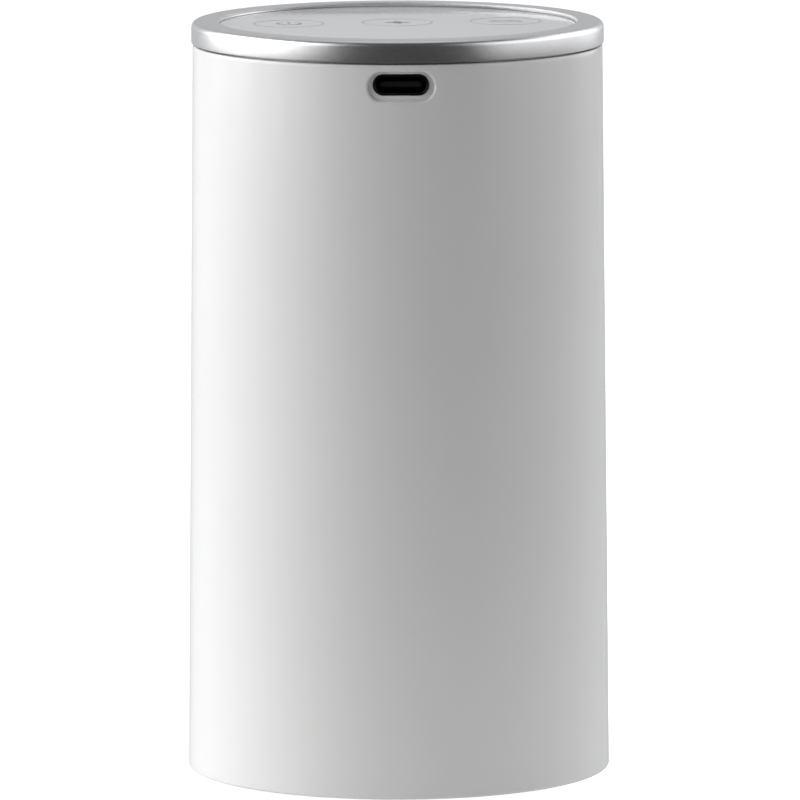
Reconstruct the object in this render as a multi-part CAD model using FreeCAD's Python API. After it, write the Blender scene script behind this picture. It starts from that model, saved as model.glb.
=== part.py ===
"""Cylindrical table-top air purifier, 71 mm across and 126 mm tall, in millimetres.

The housing lifts straight up off a magnetic base, which leaves the pleated filter standing on the
base. Air enters through the lower front grille, passes inwards through the filter, rises through a
40 mm axial fan and leaves through the upper front grille. +Z is up, the USB-C socket faces -Y and
both grilles face +Y. The origin is on the table, under the middle of the body.
"""
import FreeCAD, Part
import math
import os

from FreeCAD import Vector

# ---- driving dimensions -------------------------------------------------------------------------
SHELL_BOTTOM_Z, SHELL_TOP_Z = 0.6, 122.4
SHELL_BOTTOM_R, SHELL_TOP_R = 35.4, 34.2
SHELL_WALL = 2.2
BODY_TOP_Z = 126.3
RING_R = 34.4
PANEL_R = 29.9
PANEL_TOP_Z = 125.7
PANEL_THICKNESS = 2.0
PORT_Z = 119.05
KEY_PITCH = 17.8
FILTER_R = 26.8
FILTER_BORE_R = 12.0
DECK_Z = 60.8
DECK_THICKNESS = 3.0
FAN_SIDE = 40.0
FAN_DEPTH = 20.0
TRAY_Z = 106.0
TRAY_FLOOR = 1.6
BOARD_TOP_Z = 117.45

# ---- sizes that several pieces share ------------------------------------------------------------
GAP = 0.15
COLUMN_ANGLES = (30, 150, 270)
CLIP_ANGLES = (90, 210, 330)
COLUMN_RING_R = 29.0
MAGNET_RING_R = 30.6
MAGNET_R, MAGNET_DEPTH = 2.0, 2.0
SCREW_R, SCREW_HOLE_R = 1.45, 1.5
FAN_HOLE_SPACING = 32.0
FAN_Z = DECK_Z + DECK_THICKNESS
FAN_TOP_Z = FAN_Z + FAN_DEPTH
HUB_R, BLADE_TIP_R, FAN_BORE_R = 11.5, 18.8, 19.3
SHAFT_R, BEARING_BORE_R, BEARING_R = 0.97, 1.02, 3.0
BOARD_R, BOARD_THICKNESS = 29.6, 1.0
BOARD_POSTS = [(sx * 20.0, sy * 14.0) for sx in (-1, 1) for sy in (-1, 1)]
PANEL_BOTTOM_Z = PANEL_TOP_Z - PANEL_THICKNESS
TAPE_THICKNESS = 0.25
LEDGE_Z = PANEL_BOTTOM_Z - TAPE_THICKNESS
LEDGE_R = 27.6
INTAKE_Z = (14.0, 56.0)
OUTLET_Z = (87.0, 104.0)
GRILLE_HALF_WIDTH, GRILLE_CORNER_R = 22.0, 5.0
SOCKET_WIDTH, SOCKET_HEIGHT, SOCKET_LENGTH, SOCKET_WALL = 8.94, 3.2, 7.3, 0.3
SOCKET_MOUTH_Y = -33.4
WIRE_R = 0.5

OUT = "parts"


def shell_r(z):
    """Outer radius of the drafted shell at height z."""
    share = (z - SHELL_BOTTOM_Z) / (SHELL_TOP_Z - SHELL_BOTTOM_Z)
    return SHELL_BOTTOM_R + (SHELL_TOP_R - SHELL_BOTTOM_R) * share


def bore_r(z):
    """Inner radius of the drafted shell at height z."""
    return shell_r(z) - SHELL_WALL


# ---- helpers ------------------------------------------------------------------------------------
def polar(radius, degrees, z=0.0):
    angle = math.radians(degrees)
    return Vector(radius * math.cos(angle), radius * math.sin(angle), z)


def turned(shape, degrees):
    copy = shape.copy()
    copy.rotate(Vector(0, 0, 0), Vector(0, 0, 1), degrees)
    return copy


def rounded_wire(corners):
    """Closed wire through corners given as (Vector, radius), each corner rounded by a tangent arc."""
    starts, arcs = [], []
    count = len(corners)
    for i, (point, radius) in enumerate(corners):
        before = (corners[i - 1][0] - point).normalize()
        after = (corners[(i + 1) % count][0] - point).normalize()
        if radius <= 0:
            starts.append((point, point))
            arcs.append(None)
            continue
        half = before.getAngle(after) / 2
        reach = radius / math.tan(half)
        middle = point + (before + after).normalize() * (radius / math.sin(half) - radius)
        starts.append((point + before * reach, point + after * reach))
        arcs.append(middle)
    edges = []
    for i in range(count):
        first, last = starts[i]
        if arcs[i] is not None:
            edges.append(Part.Arc(first, arcs[i], last).toShape())
        following = starts[(i + 1) % count][0]
        if last.distanceToPoint(following) > 1e-6:
            edges.append(Part.LineSegment(last, following).toShape())
    return Part.Wire(edges)


def spun(profile):
    """Solid of revolution about Z from (radius, z) or (radius, z, corner radius) points."""
    corners = [(Vector(p[0], 0, p[1]), p[2] if len(p) > 2 else 0) for p in profile]
    face = Part.Face(rounded_wire(corners))
    return face.revolve(Vector(0, 0, 0), Vector(0, 0, 1), 360)


def tube(inner, outer, low, high):
    return spun([(inner, low), (outer, low), (outer, high), (inner, high)])


def cylinder(radius, low, high, x=0.0, y=0.0):
    return Part.makeCylinder(radius, high - low, Vector(x, y, low))


def block(x0, x1, y0, y1, z0, z1):
    return Part.makeBox(x1 - x0, y1 - y0, z1 - z0, Vector(x0, y0, z0))


def rounded_prism(half_x, low_z, high_z, corner, y0, y1, x=0.0):
    """Prism along Y whose XZ outline is a rectangle with rounded corners."""
    outline = [(x - half_x, low_z), (x + half_x, low_z), (x + half_x, high_z), (x - half_x, high_z)]
    wire = rounded_wire([(Vector(px, y0, pz), corner) for px, pz in outline])
    return Part.Face(wire).extrude(Vector(0, y1 - y0, 0))


def rounded_plate(half_x, half_y, corner, low, high, x=0.0, y=0.0):
    """Upright prism whose XY outline is a rectangle with rounded corners."""
    outline = [(x - half_x, y - half_y), (x + half_x, y - half_y),
               (x + half_x, y + half_y), (x - half_x, y + half_y)]
    wire = rounded_wire([(Vector(px, py, low), corner) for px, py in outline])
    return Part.Face(wire).extrude(Vector(0, 0, high - low))


def wire_tube(points, radius):
    """Round wire along straight runs joined by tangent arcs, each as large as its runs allow."""
    vectors = [Vector(*p) for p in points]
    edges, at = [], vectors[0]
    last = len(vectors) - 2
    for i in range(1, last + 1):
        before = vectors[i - 1] - vectors[i]
        after = vectors[i + 1] - vectors[i]
        turn = math.pi - before.getAngle(after)
        # an end run serves one bend, a middle run is shared by two
        reach = min(before.Length * (0.9 if i == 1 else 0.45),
                    after.Length * (0.9 if i == last else 0.45))
        bend = reach / math.tan(turn / 2)
        before.normalize()
        after.normalize()
        start, end = vectors[i] + before * reach, vectors[i] + after * reach
        towards = (before + after).normalize()
        middle = vectors[i] + towards * (bend / math.cos(turn / 2) - bend)
        edges.append(Part.LineSegment(at, start).toShape())
        edges.append(Part.Arc(start, middle, end).toShape())
        at = end
    edges.append(Part.LineSegment(at, vectors[-1]).toShape())
    path = Part.Wire(edges)
    ring = Part.Wire(Part.Circle(vectors[0], vectors[1] - vectors[0], radius).toShape())
    return path.makePipeShell([ring], True, False)


def screw(head_r, head_height, head_z, length, x, y, down=True):
    """Pan-head screw with a cross recess. head_z is the seat under the head."""
    way = -1 if down else 1
    shank = Part.makeCylinder(SCREW_R, length, Vector(x, y, head_z), Vector(0, 0, way))
    head = Part.makeCylinder(head_r, head_height, Vector(x, y, head_z), Vector(0, 0, -way))
    body = shank.fuse(head)
    top = head_z - way * head_height
    depth, half = 0.6 * head_height, 0.2 * head_r
    low, high = sorted((top, top + way * depth))
    reach = 0.65 * head_r
    cross = block(x - reach, x + reach, y - half, y + half, low, high)
    cross = cross.fuse(block(x - half, x + half, y - reach, y + reach, low, high))
    return body.cut(cross).removeSplitter()


def save(name, *shapes):
    solids = [s for shape in shapes for s in shape.Solids]
    for solid in solids:
        if not solid.isValid() or solid.Volume <= 0:
            raise ValueError("%s has a bad solid" % name)
    result = solids[0] if len(solids) == 1 else Part.makeCompound(solids)
    result.exportStep(os.path.join(OUT, name + ".step"))
    print("%-20s %d solid(s) %9.1f mm3" % (name, len(solids), result.Volume))
    return result


# ---- base: cover, foot, gasket, magnets ---------------------------------------------------------
COVER_R, COVER_BOTTOM_Z, COVER_PLATE_Z, COVER_RIM_Z = 32.8, 1.0, 3.2, 7.3
COVER_RIM_R = 28.2
COVER_WALL = 1.8
GASKET_R, GASKET_Z, GASKET_RADIUS = 0.8, 4.2, 32.2
FOOT_R = (24.0, 28.5)
FOOT_HEIGHT = 1.4
SPIGOT_R, SPIGOT_TOP_Z = 11.6, 12.4
GRIP_HALF_THICKNESS = 1.5


def magnet_discs(low):
    return [cylinder(MAGNET_R, low, low + MAGNET_DEPTH, *polar(MAGNET_RING_R, a)[:2])
            for a in COLUMN_ANGLES]


def base_cover():
    groove_floor = GASKET_RADIUS - GASKET_R - 0.05
    groove = (GASKET_Z - GASKET_R, GASKET_Z + GASKET_R)
    body = spun([
        (0, COVER_BOTTOM_Z), (COVER_R, COVER_BOTTOM_Z, 0.5), (COVER_R, groove[0]),
        (groove_floor, groove[0]), (groove_floor, groove[1]), (COVER_R, groove[1]),
        (COVER_R, COVER_RIM_Z, 0.4), (COVER_RIM_R, COVER_RIM_Z, 0.4),
        (COVER_RIM_R, COVER_PLATE_Z, 1.0), (SPIGOT_R, COVER_PLATE_Z),
        (SPIGOT_R, SPIGOT_TOP_Z, 1.2), (0, SPIGOT_TOP_Z),
    ])
    # the hollow under the spigot leaves a bar to pinch, which pulls the base off the housing
    hollow = spun([(0, 0), (SPIGOT_R - COVER_WALL, 0), (SPIGOT_R - COVER_WALL, COVER_BOTTOM_Z + 0.2),
                   (SPIGOT_R - COVER_WALL, SPIGOT_TOP_Z - COVER_WALL, 1.0),
                   (0, SPIGOT_TOP_Z - COVER_WALL)])
    bar = block(-SPIGOT_R, SPIGOT_R, -GRIP_HALF_THICKNESS, GRIP_HALF_THICKNESS, 0, SPIGOT_TOP_Z)
    body = body.cut(hollow.cut(bar))
    groove_r = (FOOT_R[0] - 0.05, FOOT_R[1] + 0.05)
    body = body.cut(tube(*groove_r, COVER_BOTTOM_Z - 1, FOOT_HEIGHT + 0.02))
    pocket_floor = COVER_RIM_Z - MAGNET_DEPTH - 0.05
    for angle in COLUMN_ANGLES:
        x, y = polar(MAGNET_RING_R, angle)[:2]
        body = body.cut(cylinder(MAGNET_R + 0.05, pocket_floor, COVER_RIM_Z + 1, x, y))
    return body.removeSplitter()


def base():
    save("base_cover", base_cover())
    foot = spun([(FOOT_R[0], 0, 0.4), (FOOT_R[1], 0, 0.4),
                 (FOOT_R[1], FOOT_HEIGHT), (FOOT_R[0], FOOT_HEIGHT)])
    save("foot_ring", foot)
    save("base_gasket", Part.makeTorus(GASKET_RADIUS, GASKET_R, Vector(0, 0, GASKET_Z)))
    save("base_magnets", *magnet_discs(COVER_RIM_Z - MAGNET_DEPTH))


# ---- filter cartridge ---------------------------------------------------------------------------
FILTER_BOTTOM_Z = 3.4
CAP_THICKNESS, CAP_LIP = 2.5, 2.5
FILTER_TOP_Z = 58.4
SEAL_TOP_Z = 60.5
CORE_R = 13.0
CARBON_R = (13.1, 15.4)
MEDIA_R = (15.6, 25.3)
NET_R = (25.4, 26.0)
LIP_R = 26.1


def filter_cap(plate_z, lip_way):
    """Ring-shaped end cap with a lip that holds the net. lip_way is +1 for the lower cap."""
    inner = plate_z + lip_way * CAP_THICKNESS
    tip = inner + lip_way * CAP_LIP
    return spun([(FILTER_BORE_R, plate_z, 0.4), (FILTER_R, plate_z, 0.6), (FILTER_R, tip, 0.2),
                 (LIP_R, tip, 0.2), (LIP_R, inner), (FILTER_BORE_R, inner)])


def filter_core(low, high):
    """Perforated inner tube, with three rows of eight windows."""
    core = tube(FILTER_BORE_R, CORE_R, low, high)
    rows, columns = 3, 8
    pitch = (high - low) / rows
    for row in range(rows):
        middle = low + (row + 0.5) * pitch
        window = rounded_prism(3.0, middle - 0.4 * pitch, middle + 0.4 * pitch, 1.2, 0, CORE_R + 1)
        for column in range(columns):
            core = core.cut(turned(window, column * 360.0 / columns))
    return core


def filter_cartridge():
    low = FILTER_BOTTOM_Z + CAP_THICKNESS
    high = FILTER_TOP_Z - CAP_THICKNESS
    save("filter_bottom_cap", filter_cap(FILTER_BOTTOM_Z, 1))
    save("filter_top_cap", filter_cap(FILTER_TOP_Z, -1))
    save("filter_core", filter_core(low, high))
    save("carbon_sleeve", tube(CARBON_R[0], CARBON_R[1], low, high))
    save("filter_media", tube(MEDIA_R[0], MEDIA_R[1], low, high))
    save("filter_net", tube(NET_R[0], NET_R[1], low, high))
    save("filter_seal", tube(19.5, 25.5, FILTER_TOP_Z, SEAL_TOP_Z))


# ---- outer shell, its grilles and its lower collar ----------------------------------------------
SLOT_WIDTH, SLOT_PITCH_DEG, SLOTS_EACH_SIDE = 1.8, 4.2, 8
HOOK_X, HOOK_HALF_WIDTH = 10.0, 1.5
COLLAR_Z = (7.6, 11.6)
COLLAR_R = 28.0
COLUMN_R = 3.2
SCREW_DEPTH = 8.0
PORT_OPENING = (9.3, 3.5)
PORT_RECESS, PORT_RECESS_DROP = (11.5, 5.0), 0.3


def shell_wall_solid():
    return spun([
        (SHELL_BOTTOM_R, SHELL_BOTTOM_Z, 0.6), (SHELL_TOP_R, SHELL_TOP_Z, 0.25),
        (bore_r(SHELL_TOP_Z), SHELL_TOP_Z, 0.2), (bore_r(SHELL_BOTTOM_Z), SHELL_BOTTOM_Z, 0.3),
    ])


def stadium_along_y(size, y0, y1, middle=PORT_Z):
    width, height = size
    corner = height / 2 - 0.001
    return rounded_prism(width / 2, middle - height / 2, middle + height / 2, corner, y0, y1)


def outer_shell():
    shell = shell_wall_solid()
    for angle in COLUMN_ANGLES:
        column = cylinder(COLUMN_R, FAN_Z, TRAY_Z, COLUMN_RING_R, 0)
        web = block(COLUMN_RING_R, bore_r(FAN_Z) + 1.0, -COLUMN_R * 0.6, COLUMN_R * 0.6,
                    FAN_Z, TRAY_Z)
        shell = shell.fuse(turned(column.fuse(web), angle))
    for angle in COLUMN_ANGLES:
        for low, high in ((FAN_Z - 1, FAN_Z + SCREW_DEPTH), (TRAY_Z - SCREW_DEPTH, TRAY_Z + 1)):
            hole = cylinder(SCREW_HOLE_R, low, high, COLUMN_RING_R, 0)
            shell = shell.cut(turned(hole, angle))
    for low, high in (INTAKE_Z, OUTLET_Z):
        shell = shell.cut(rounded_prism(GRILLE_HALF_WIDTH, low, high, GRILLE_CORNER_R, 20, 40))
    shell = shell.cut(stadium_along_y(PORT_OPENING, -40, -25))
    recess_z = PORT_Z - PORT_RECESS_DROP
    shell = shell.cut(stadium_along_y(PORT_RECESS, -40, SOCKET_MOUTH_Y, recess_z))
    return shell.removeSplitter()


def grille(span, rows):
    """Insert that fills one front opening: a piece of the shell's wall with upright slots.

    span is the opening's (low, high) and rows the (low, high) of each row of slots.
    """
    low, high = span[0] + GAP, span[1] - GAP
    prism = rounded_prism(GRILLE_HALF_WIDTH - GAP, low, high, GRILLE_CORNER_R - GAP, 20, 40)
    insert = shell_wall_solid().common(prism)
    for x in (-HOOK_X, HOOK_X):
        for edge, way in ((low, 1), (high, -1)):
            root_y = math.sqrt(bore_r(edge) ** 2 - (HOOK_X - HOOK_HALF_WIDTH) ** 2) + 0.3
            back_y = math.sqrt(bore_r(edge) ** 2 - (HOOK_X + HOOK_HALF_WIDTH) ** 2) - 0.3
            arm = sorted((edge + way * 0.3, edge + way * 1.9))
            tip = sorted((edge + way * 1.9, edge - way * 1.2))
            sides = (x - HOOK_HALF_WIDTH, x + HOOK_HALF_WIDTH)
            insert = insert.fuse(block(*sides, back_y - 1.2, root_y, *arm))
            insert = insert.fuse(block(*sides, back_y - 1.2, back_y, *tip))
    for row_low, row_high in rows:
        slot = rounded_prism(SLOT_WIDTH / 2, row_low, row_high, SLOT_WIDTH / 2 - 0.001, 27, 40)
        for i in range(-SLOTS_EACH_SIDE, SLOTS_EACH_SIDE + 1):
            insert = insert.cut(turned(slot, i * SLOT_PITCH_DEG))
    return insert


def lower_collar():
    """Ring bonded inside the shell's lower end, with pockets for the housing's magnets."""
    low, high = COLLAR_Z
    collar = spun([(COLLAR_R, low, 0.5), (bore_r(low) - GAP, low, 0.3),
                   (bore_r(high) - GAP, high, 0.3), (COLLAR_R, high, 0.8)])
    for angle in COLUMN_ANGLES:
        x, y = polar(MAGNET_RING_R, angle)[:2]
        collar = collar.cut(cylinder(MAGNET_R + 0.05, low - 1, low + MAGNET_DEPTH + 0.15, x, y))
    return collar


def shell_group():
    save("outer_shell", outer_shell())
    middle = (INTAKE_Z[0] + INTAKE_Z[1]) / 2
    rows = ((INTAKE_Z[0] + 3.5, middle - 1.0), (middle + 1.0, INTAKE_Z[1] - 3.5))
    save("intake_grille", grille(INTAKE_Z, rows))
    save("outlet_grille", grille(OUTLET_Z, ((OUTLET_Z[0] + 3.0, OUTLET_Z[1] - 3.0),)))
    save("lower_collar", lower_collar())
    save("housing_magnets", *magnet_discs(COLLAR_Z[0] + 0.1))


# ---- fan deck -----------------------------------------------------------------------------------
DECK_R = 32.35
DECK_GROOVE_Z = (61.6, 63.0)
DECK_SEAL_R = (31.6, 32.55)
DECK_HEAD = (2.2, 1.2)
INLET_R = 18.9


def fan_deck():
    deck = spun([
        (INLET_R + 1.2, DECK_Z, 0.8), (DECK_R, DECK_Z, 0.3), (DECK_R, DECK_GROOVE_Z[0]),
        (DECK_SEAL_R[0], DECK_GROOVE_Z[0]), (DECK_SEAL_R[0], DECK_GROOVE_Z[1]),
        (DECK_R, DECK_GROOVE_Z[1]), (DECK_R - 0.15, FAN_Z), (INLET_R, FAN_Z),
        (INLET_R, DECK_Z + 1.6),
    ])
    for angle in COLUMN_ANGLES:
        x, y = polar(COLUMN_RING_R, angle)[:2]
        deck = deck.cut(cylinder(SCREW_HOLE_R, DECK_Z - 1, FAN_Z + 1, x, y))
        seat = DECK_Z + DECK_HEAD[1] + 0.2
        deck = deck.cut(cylinder(DECK_HEAD[0] + 0.15, DECK_Z - 1, seat, x, y))
    for x, y in fan_corners():
        deck = deck.cut(cylinder(SCREW_HOLE_R, DECK_Z + 0.6, FAN_Z + 1, x, y))
    return deck


def fan_corners():
    half = FAN_HOLE_SPACING / 2
    return [(sx * half, sy * half) for sx in (-1, 1) for sy in (-1, 1)]


def deck_group():
    save("fan_deck", fan_deck())
    save("deck_seal", tube(DECK_SEAL_R[0] + 0.02, DECK_SEAL_R[1], *DECK_GROOVE_Z))
    seat = DECK_Z + DECK_HEAD[1] + 0.2
    save("deck_screws", *[screw(DECK_HEAD[0], DECK_HEAD[1], seat, 8.0,
                                *polar(COLUMN_RING_R, a)[:2], down=False) for a in COLUMN_ANGLES])


# ---- fan ----------------------------------------------------------------------------------------
FLANGE_THICKNESS = 3.6
MOTOR_BASE_R, MOTOR_BASE_THICKNESS = 12.4, 1.8
BEARING_TUBE_R = 4.0
BEARING_WIDTH = 2.3
BEARING_ZS = (FAN_Z + 7.4, FAN_Z + 15.2)
HUB_Z = (FAN_Z + 1.2, FAN_Z + 16.6)
HUB_WALL = 1.0
BLADES = 7
CORE_STACK_Z = (FAN_Z + 8.6, FAN_Z + 13.6)


def fan_frame():
    half = FAN_SIDE / 2
    frame = rounded_plate(half, half, 3.0, FAN_Z, FAN_Z + FLANGE_THICKNESS)
    frame = frame.fuse(rounded_plate(half, half, 3.0, FAN_TOP_Z - FLANGE_THICKNESS, FAN_TOP_Z))
    frame = frame.fuse(cylinder(half - 0.05, FAN_Z, FAN_TOP_Z))
    frame = frame.cut(cylinder(FAN_BORE_R, FAN_Z - 1, FAN_TOP_Z + 1))
    for x, y in fan_corners():
        frame = frame.cut(cylinder(2.15, FAN_Z - 1, FAN_TOP_Z + 1, x, y))
    motor_base = FAN_TOP_Z - MOTOR_BASE_THICKNESS
    frame = frame.fuse(cylinder(MOTOR_BASE_R, motor_base, FAN_TOP_Z))
    strut = block(MOTOR_BASE_R - 1, FAN_BORE_R + 0.3, -0.9, 0.9, motor_base, FAN_TOP_Z)
    for i in range(4):
        frame = frame.fuse(turned(strut, 45 + 90 * i))
    return frame.cut(cylinder(BEARING_TUBE_R + 0.02, FAN_Z, FAN_TOP_Z - 0.6)).removeSplitter()


def bearing_tube():
    """Brass tube set in the frame's middle. It holds both bearings and carries the stator."""
    tube_top = FAN_TOP_Z - 0.65
    return spun([(BEARING_R + 0.02, BEARING_ZS[0]), (BEARING_TUBE_R, BEARING_ZS[0], 0.2),
                 (BEARING_TUBE_R, tube_top, 0.2), (0, tube_top), (0, tube_top - 0.6),
                 (BEARING_R + 0.02, tube_top - 0.6)])


def blade_section(radius, chord, pitch_deg, camber):
    """Thin curved blade section in the plane x = radius, along a chord pitched from the disc."""
    pitch = math.radians(pitch_deg)
    middle_z = (HUB_Z[0] + HUB_Z[1]) / 2
    half, thickness = chord / 2, 0.55

    def place(along, off):
        return Vector(radius, along * math.cos(pitch) - off * math.sin(pitch),
                      middle_z + along * math.sin(pitch) + off * math.cos(pitch))

    lower = Part.Arc(place(-half, 0), place(0, camber - thickness), place(half, 0)).toShape()
    upper = Part.Arc(place(half, 0), place(0, camber + thickness), place(-half, 0)).toShape()
    return Part.Wire([lower, upper])


def fan_rotor():
    hub = spun([(0, HUB_Z[0]), (HUB_R, HUB_Z[0], 1.2), (HUB_R, HUB_Z[1]),
                (HUB_R - HUB_WALL, HUB_Z[1]), (HUB_R - HUB_WALL, HUB_Z[0] + 1.4),
                (0, HUB_Z[0] + 1.4)])
    boss = cylinder(2.6, HUB_Z[0] + 1.0, BEARING_ZS[0] - 0.6)
    rotor = hub.fuse(boss).cut(cylinder(SHAFT_R + 0.01, HUB_Z[0] + 0.7, FAN_TOP_Z))
    sections = [blade_section(HUB_R - 1.2, 12.0, 46, 1.3), blade_section(15.0, 13.6, 36, 1.5),
                blade_section(BLADE_TIP_R + 0.6, 14.6, 30, 1.6)]
    blade = Part.makeLoft(sections, True, False)
    sweep = tube(HUB_R - 0.4, BLADE_TIP_R, HUB_Z[0], HUB_Z[1])
    blade = blade.common(sweep)
    for i in range(BLADES):
        rotor = rotor.fuse(turned(blade, i * 360.0 / BLADES))
    return rotor.removeSplitter()


def stator_core():
    """Laminated stack with four T-shaped poles."""
    low, high = CORE_STACK_Z
    core = cylinder(5.2, low, high)
    ring = tube(7.6, 8.6, low, high)
    for i in range(4):
        pole = block(4.6, 8.0, -1.1, 1.1, low, high)
        face = ring.common(block(5.0, 9.0, -4.4, 4.4, low, high))
        core = core.fuse(turned(pole.fuse(face), 90 * i))
    return core.cut(cylinder(BEARING_TUBE_R + 0.03, low - 1, high + 1))


def stator_coils():
    """One winding round each pole's neck."""
    low, high = CORE_STACK_Z
    coils = []
    for i in range(4):
        outer = rounded_prism(3.0, low - 1.1, high + 1.1, 1.2, 5.3, 7.5)
        inner = block(-1.2, 1.2, 5.0, 7.8, low - 0.1, high + 0.1)
        coil = outer.cut(inner).common(tube(5.25, 7.5, low - 2, high + 2))
        coils.append(turned(coil, 90 * i - 90))
    return coils


def fan_group():
    save("fan_frame", fan_frame())
    save("bearing_tube", bearing_tube())
    save("fan_rotor", fan_rotor())
    save("fan_shaft", cylinder(SHAFT_R, HUB_Z[0] + 0.7, FAN_TOP_Z - 1.6))
    save("rotor_magnet", tube(9.3, HUB_R - HUB_WALL - 0.02, CORE_STACK_Z[0] - 1.0, HUB_Z[1] - 0.3))
    save("fan_bearings", *[tube(BEARING_BORE_R, BEARING_R, z, z + BEARING_WIDTH)
                           for z in BEARING_ZS])
    save("stator_core", stator_core())
    save("stator_coils", *stator_coils())
    circuit_top = FAN_TOP_Z - MOTOR_BASE_THICKNESS - 0.3
    save("fan_circuit", tube(BEARING_TUBE_R + 0.1, 9.2, circuit_top - 0.8, circuit_top))
    save("fan_screws", *[screw(2.7, 1.8, FAN_TOP_Z, FAN_DEPTH + 2.0, x, y)
                         for x, y in fan_corners()])


# ---- top tray with the ioniser ------------------------------------------------------------------
TRAY_R = 31.9
RIM_R, RIM_TOP_Z = (28.6, 30.0), 114.5
RIM_HALF_ANGLE = 25.0
CLIP_WINDOW_Z = (110.8, 113.0)
POST_R = 2.2
TRAY_TOP_Z = TRAY_Z + TRAY_FLOOR
BOARD_BOTTOM_Z = BOARD_TOP_Z - BOARD_THICKNESS
HOLDER_Y, HOLDER_Z = (19.0, 24.0), (98.5, TRAY_Z)
MODULE_Y, MODULE_TOP_Z = (0.0, 12.0), 114.6
FAN_SOCKET = (-24.0, -18.0, -10.6, -5.4)
FAN_SOCKET_DEPTH = 5.0


def arc_wall(inner, outer, low, high, half_angle, middle):
    """Part of a round wall, half_angle each side of middle."""
    span = math.radians(half_angle)
    reach = outer * 1.5
    corner = Vector(reach * math.cos(span), reach * math.sin(span), low)
    other = Vector(corner.x, -corner.y, low)
    wedge = Part.Face(Part.makePolygon([Vector(0, 0, low), other, corner, Vector(0, 0, low)]))
    wedge = wedge.extrude(Vector(0, 0, high - low))
    return turned(tube(inner, outer, low, high).common(wedge), middle)


def top_tray():
    tray = spun([(0, TRAY_Z), (TRAY_R, TRAY_Z, 0.4), (TRAY_R, TRAY_TOP_Z, 0.2), (0, TRAY_TOP_Z)])
    for angle in CLIP_ANGLES:
        wall = arc_wall(RIM_R[0], RIM_R[1], TRAY_TOP_Z - 0.5, RIM_TOP_Z, RIM_HALF_ANGLE, angle)
        window = block(RIM_R[0] - 1, RIM_R[1] + 1, -4.3, 4.3, *CLIP_WINDOW_Z)
        tray = tray.fuse(wall.cut(turned(window, angle)))
    for x, y in BOARD_POSTS:
        tray = tray.fuse(cylinder(POST_R, TRAY_TOP_Z - 0.5, BOARD_BOTTOM_Z, x, y))
        tray = tray.cut(cylinder(1.0, BOARD_BOTTOM_Z - 6, BOARD_BOTTOM_Z + 1, x, y))
    for angle in COLUMN_ANGLES:
        x, y = polar(COLUMN_RING_R, angle)[:2]
        tray = tray.cut(cylinder(SCREW_HOLE_R, TRAY_Z - 1, TRAY_TOP_Z + 1, x, y))
    tray = tray.cut(cylinder(2.2, TRAY_Z - 1, TRAY_TOP_Z + 1, FAN_WIRE_END_X, FAN_WIRE_Y))
    tray = tray.cut(cylinder(1.3, TRAY_Z - 1, TRAY_TOP_Z + 1, 0, ION_WIRE_Y))
    return tray.removeSplitter()


FAN_WIRE_X, FAN_WIRE_END_X, FAN_WIRE_Y = -24.2, -21.0, -8.0
ION_WIRE_Y = 16.4
WIRE_SPACING = 1.15


def fan_lead(side):
    """One of the fan's two wires: out of the frame's side, up the wall, and into its socket."""
    y = FAN_WIRE_Y + side * WIRE_SPACING / 2
    return wire_tube([
        (-FAN_SIDE / 2 - 0.02, y, FAN_TOP_Z - 1.8), (FAN_WIRE_X, y, FAN_TOP_Z - 1.8),
        (FAN_WIRE_X, y, 93.0), (FAN_WIRE_END_X, y, 101.0),
        (FAN_WIRE_END_X, y, BOARD_BOTTOM_Z - FAN_SOCKET_DEPTH - 0.02),
    ], WIRE_R)


def tray_group():
    save("top_tray", top_tray())
    save("tray_screws", *[screw(2.5, 1.8, TRAY_TOP_Z, 8.0, *polar(COLUMN_RING_R, a)[:2])
                          for a in COLUMN_ANGLES])
    module = rounded_plate(11.0, 6.0, 1.0, TRAY_TOP_Z, MODULE_TOP_Z, y=sum(MODULE_Y) / 2)
    save("ioniser_module", module)
    save("ioniser_pins", *[cylinder(0.4, MODULE_TOP_Z, BOARD_BOTTOM_Z, x, 3.0) for x in (-4, 4)])
    holder = block(-4, 4, HOLDER_Y[0], HOLDER_Y[1], *HOLDER_Z)
    save("ioniser_holder", holder.makeFillet(0.6, [e for e in holder.Edges
                                                   if abs(e.tangentAt(0).z) > 0.9]))
    brush = Part.makeCylinder(1.2, 2.0, Vector(0, HOLDER_Y[1], 101.5), Vector(0, 1, 0))
    fibres = Part.makeCone(0.7, 1.5, 3.0, Vector(0, HOLDER_Y[1] + 2.0, 101.5), Vector(0, 1, 0))
    save("ioniser_brush", brush.fuse(fibres))
    lead = wire_tube([(0, MODULE_Y[1], 111.6), (0, ION_WIRE_Y, 111.6), (0, ION_WIRE_Y, 102.4),
                      (0, HOLDER_Y[0], 102.4)], 0.6)
    save("ioniser_lead", lead)


# ---- control board, its parts and the USB-C socket ----------------------------------------------
SOCKET_BACK_Y = SOCKET_MOUTH_Y + SOCKET_LENGTH
TONGUE_HALF_WIDTH, TONGUE_HALF_HEIGHT = 3.35, 0.35
KEY_XS = (-KEY_PITCH, 0.0, KEY_PITCH)
WELL_R = (6.3, 7.3)
SHIELD_Z = (BOARD_TOP_Z, PANEL_BOTTOM_Z - 0.3)
PAD_R = 3.0


def socket_prism(inset, y0, y1):
    width, height = SOCKET_WIDTH - 2 * inset, SOCKET_HEIGHT - 2 * inset
    return stadium_along_y((width, height), y0, y1)


def touch_pad(x):
    """Conductive foam post that carries a key's touch signal up to the panel."""
    post = cylinder(PAD_R, BOARD_TOP_Z, PANEL_BOTTOM_Z - 0.05, x, 0)
    rims = [e for e in post.Edges if e.Curve.TypeId == "Part::GeomCircle"]
    return post.makeFillet(0.4, rims)


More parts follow.
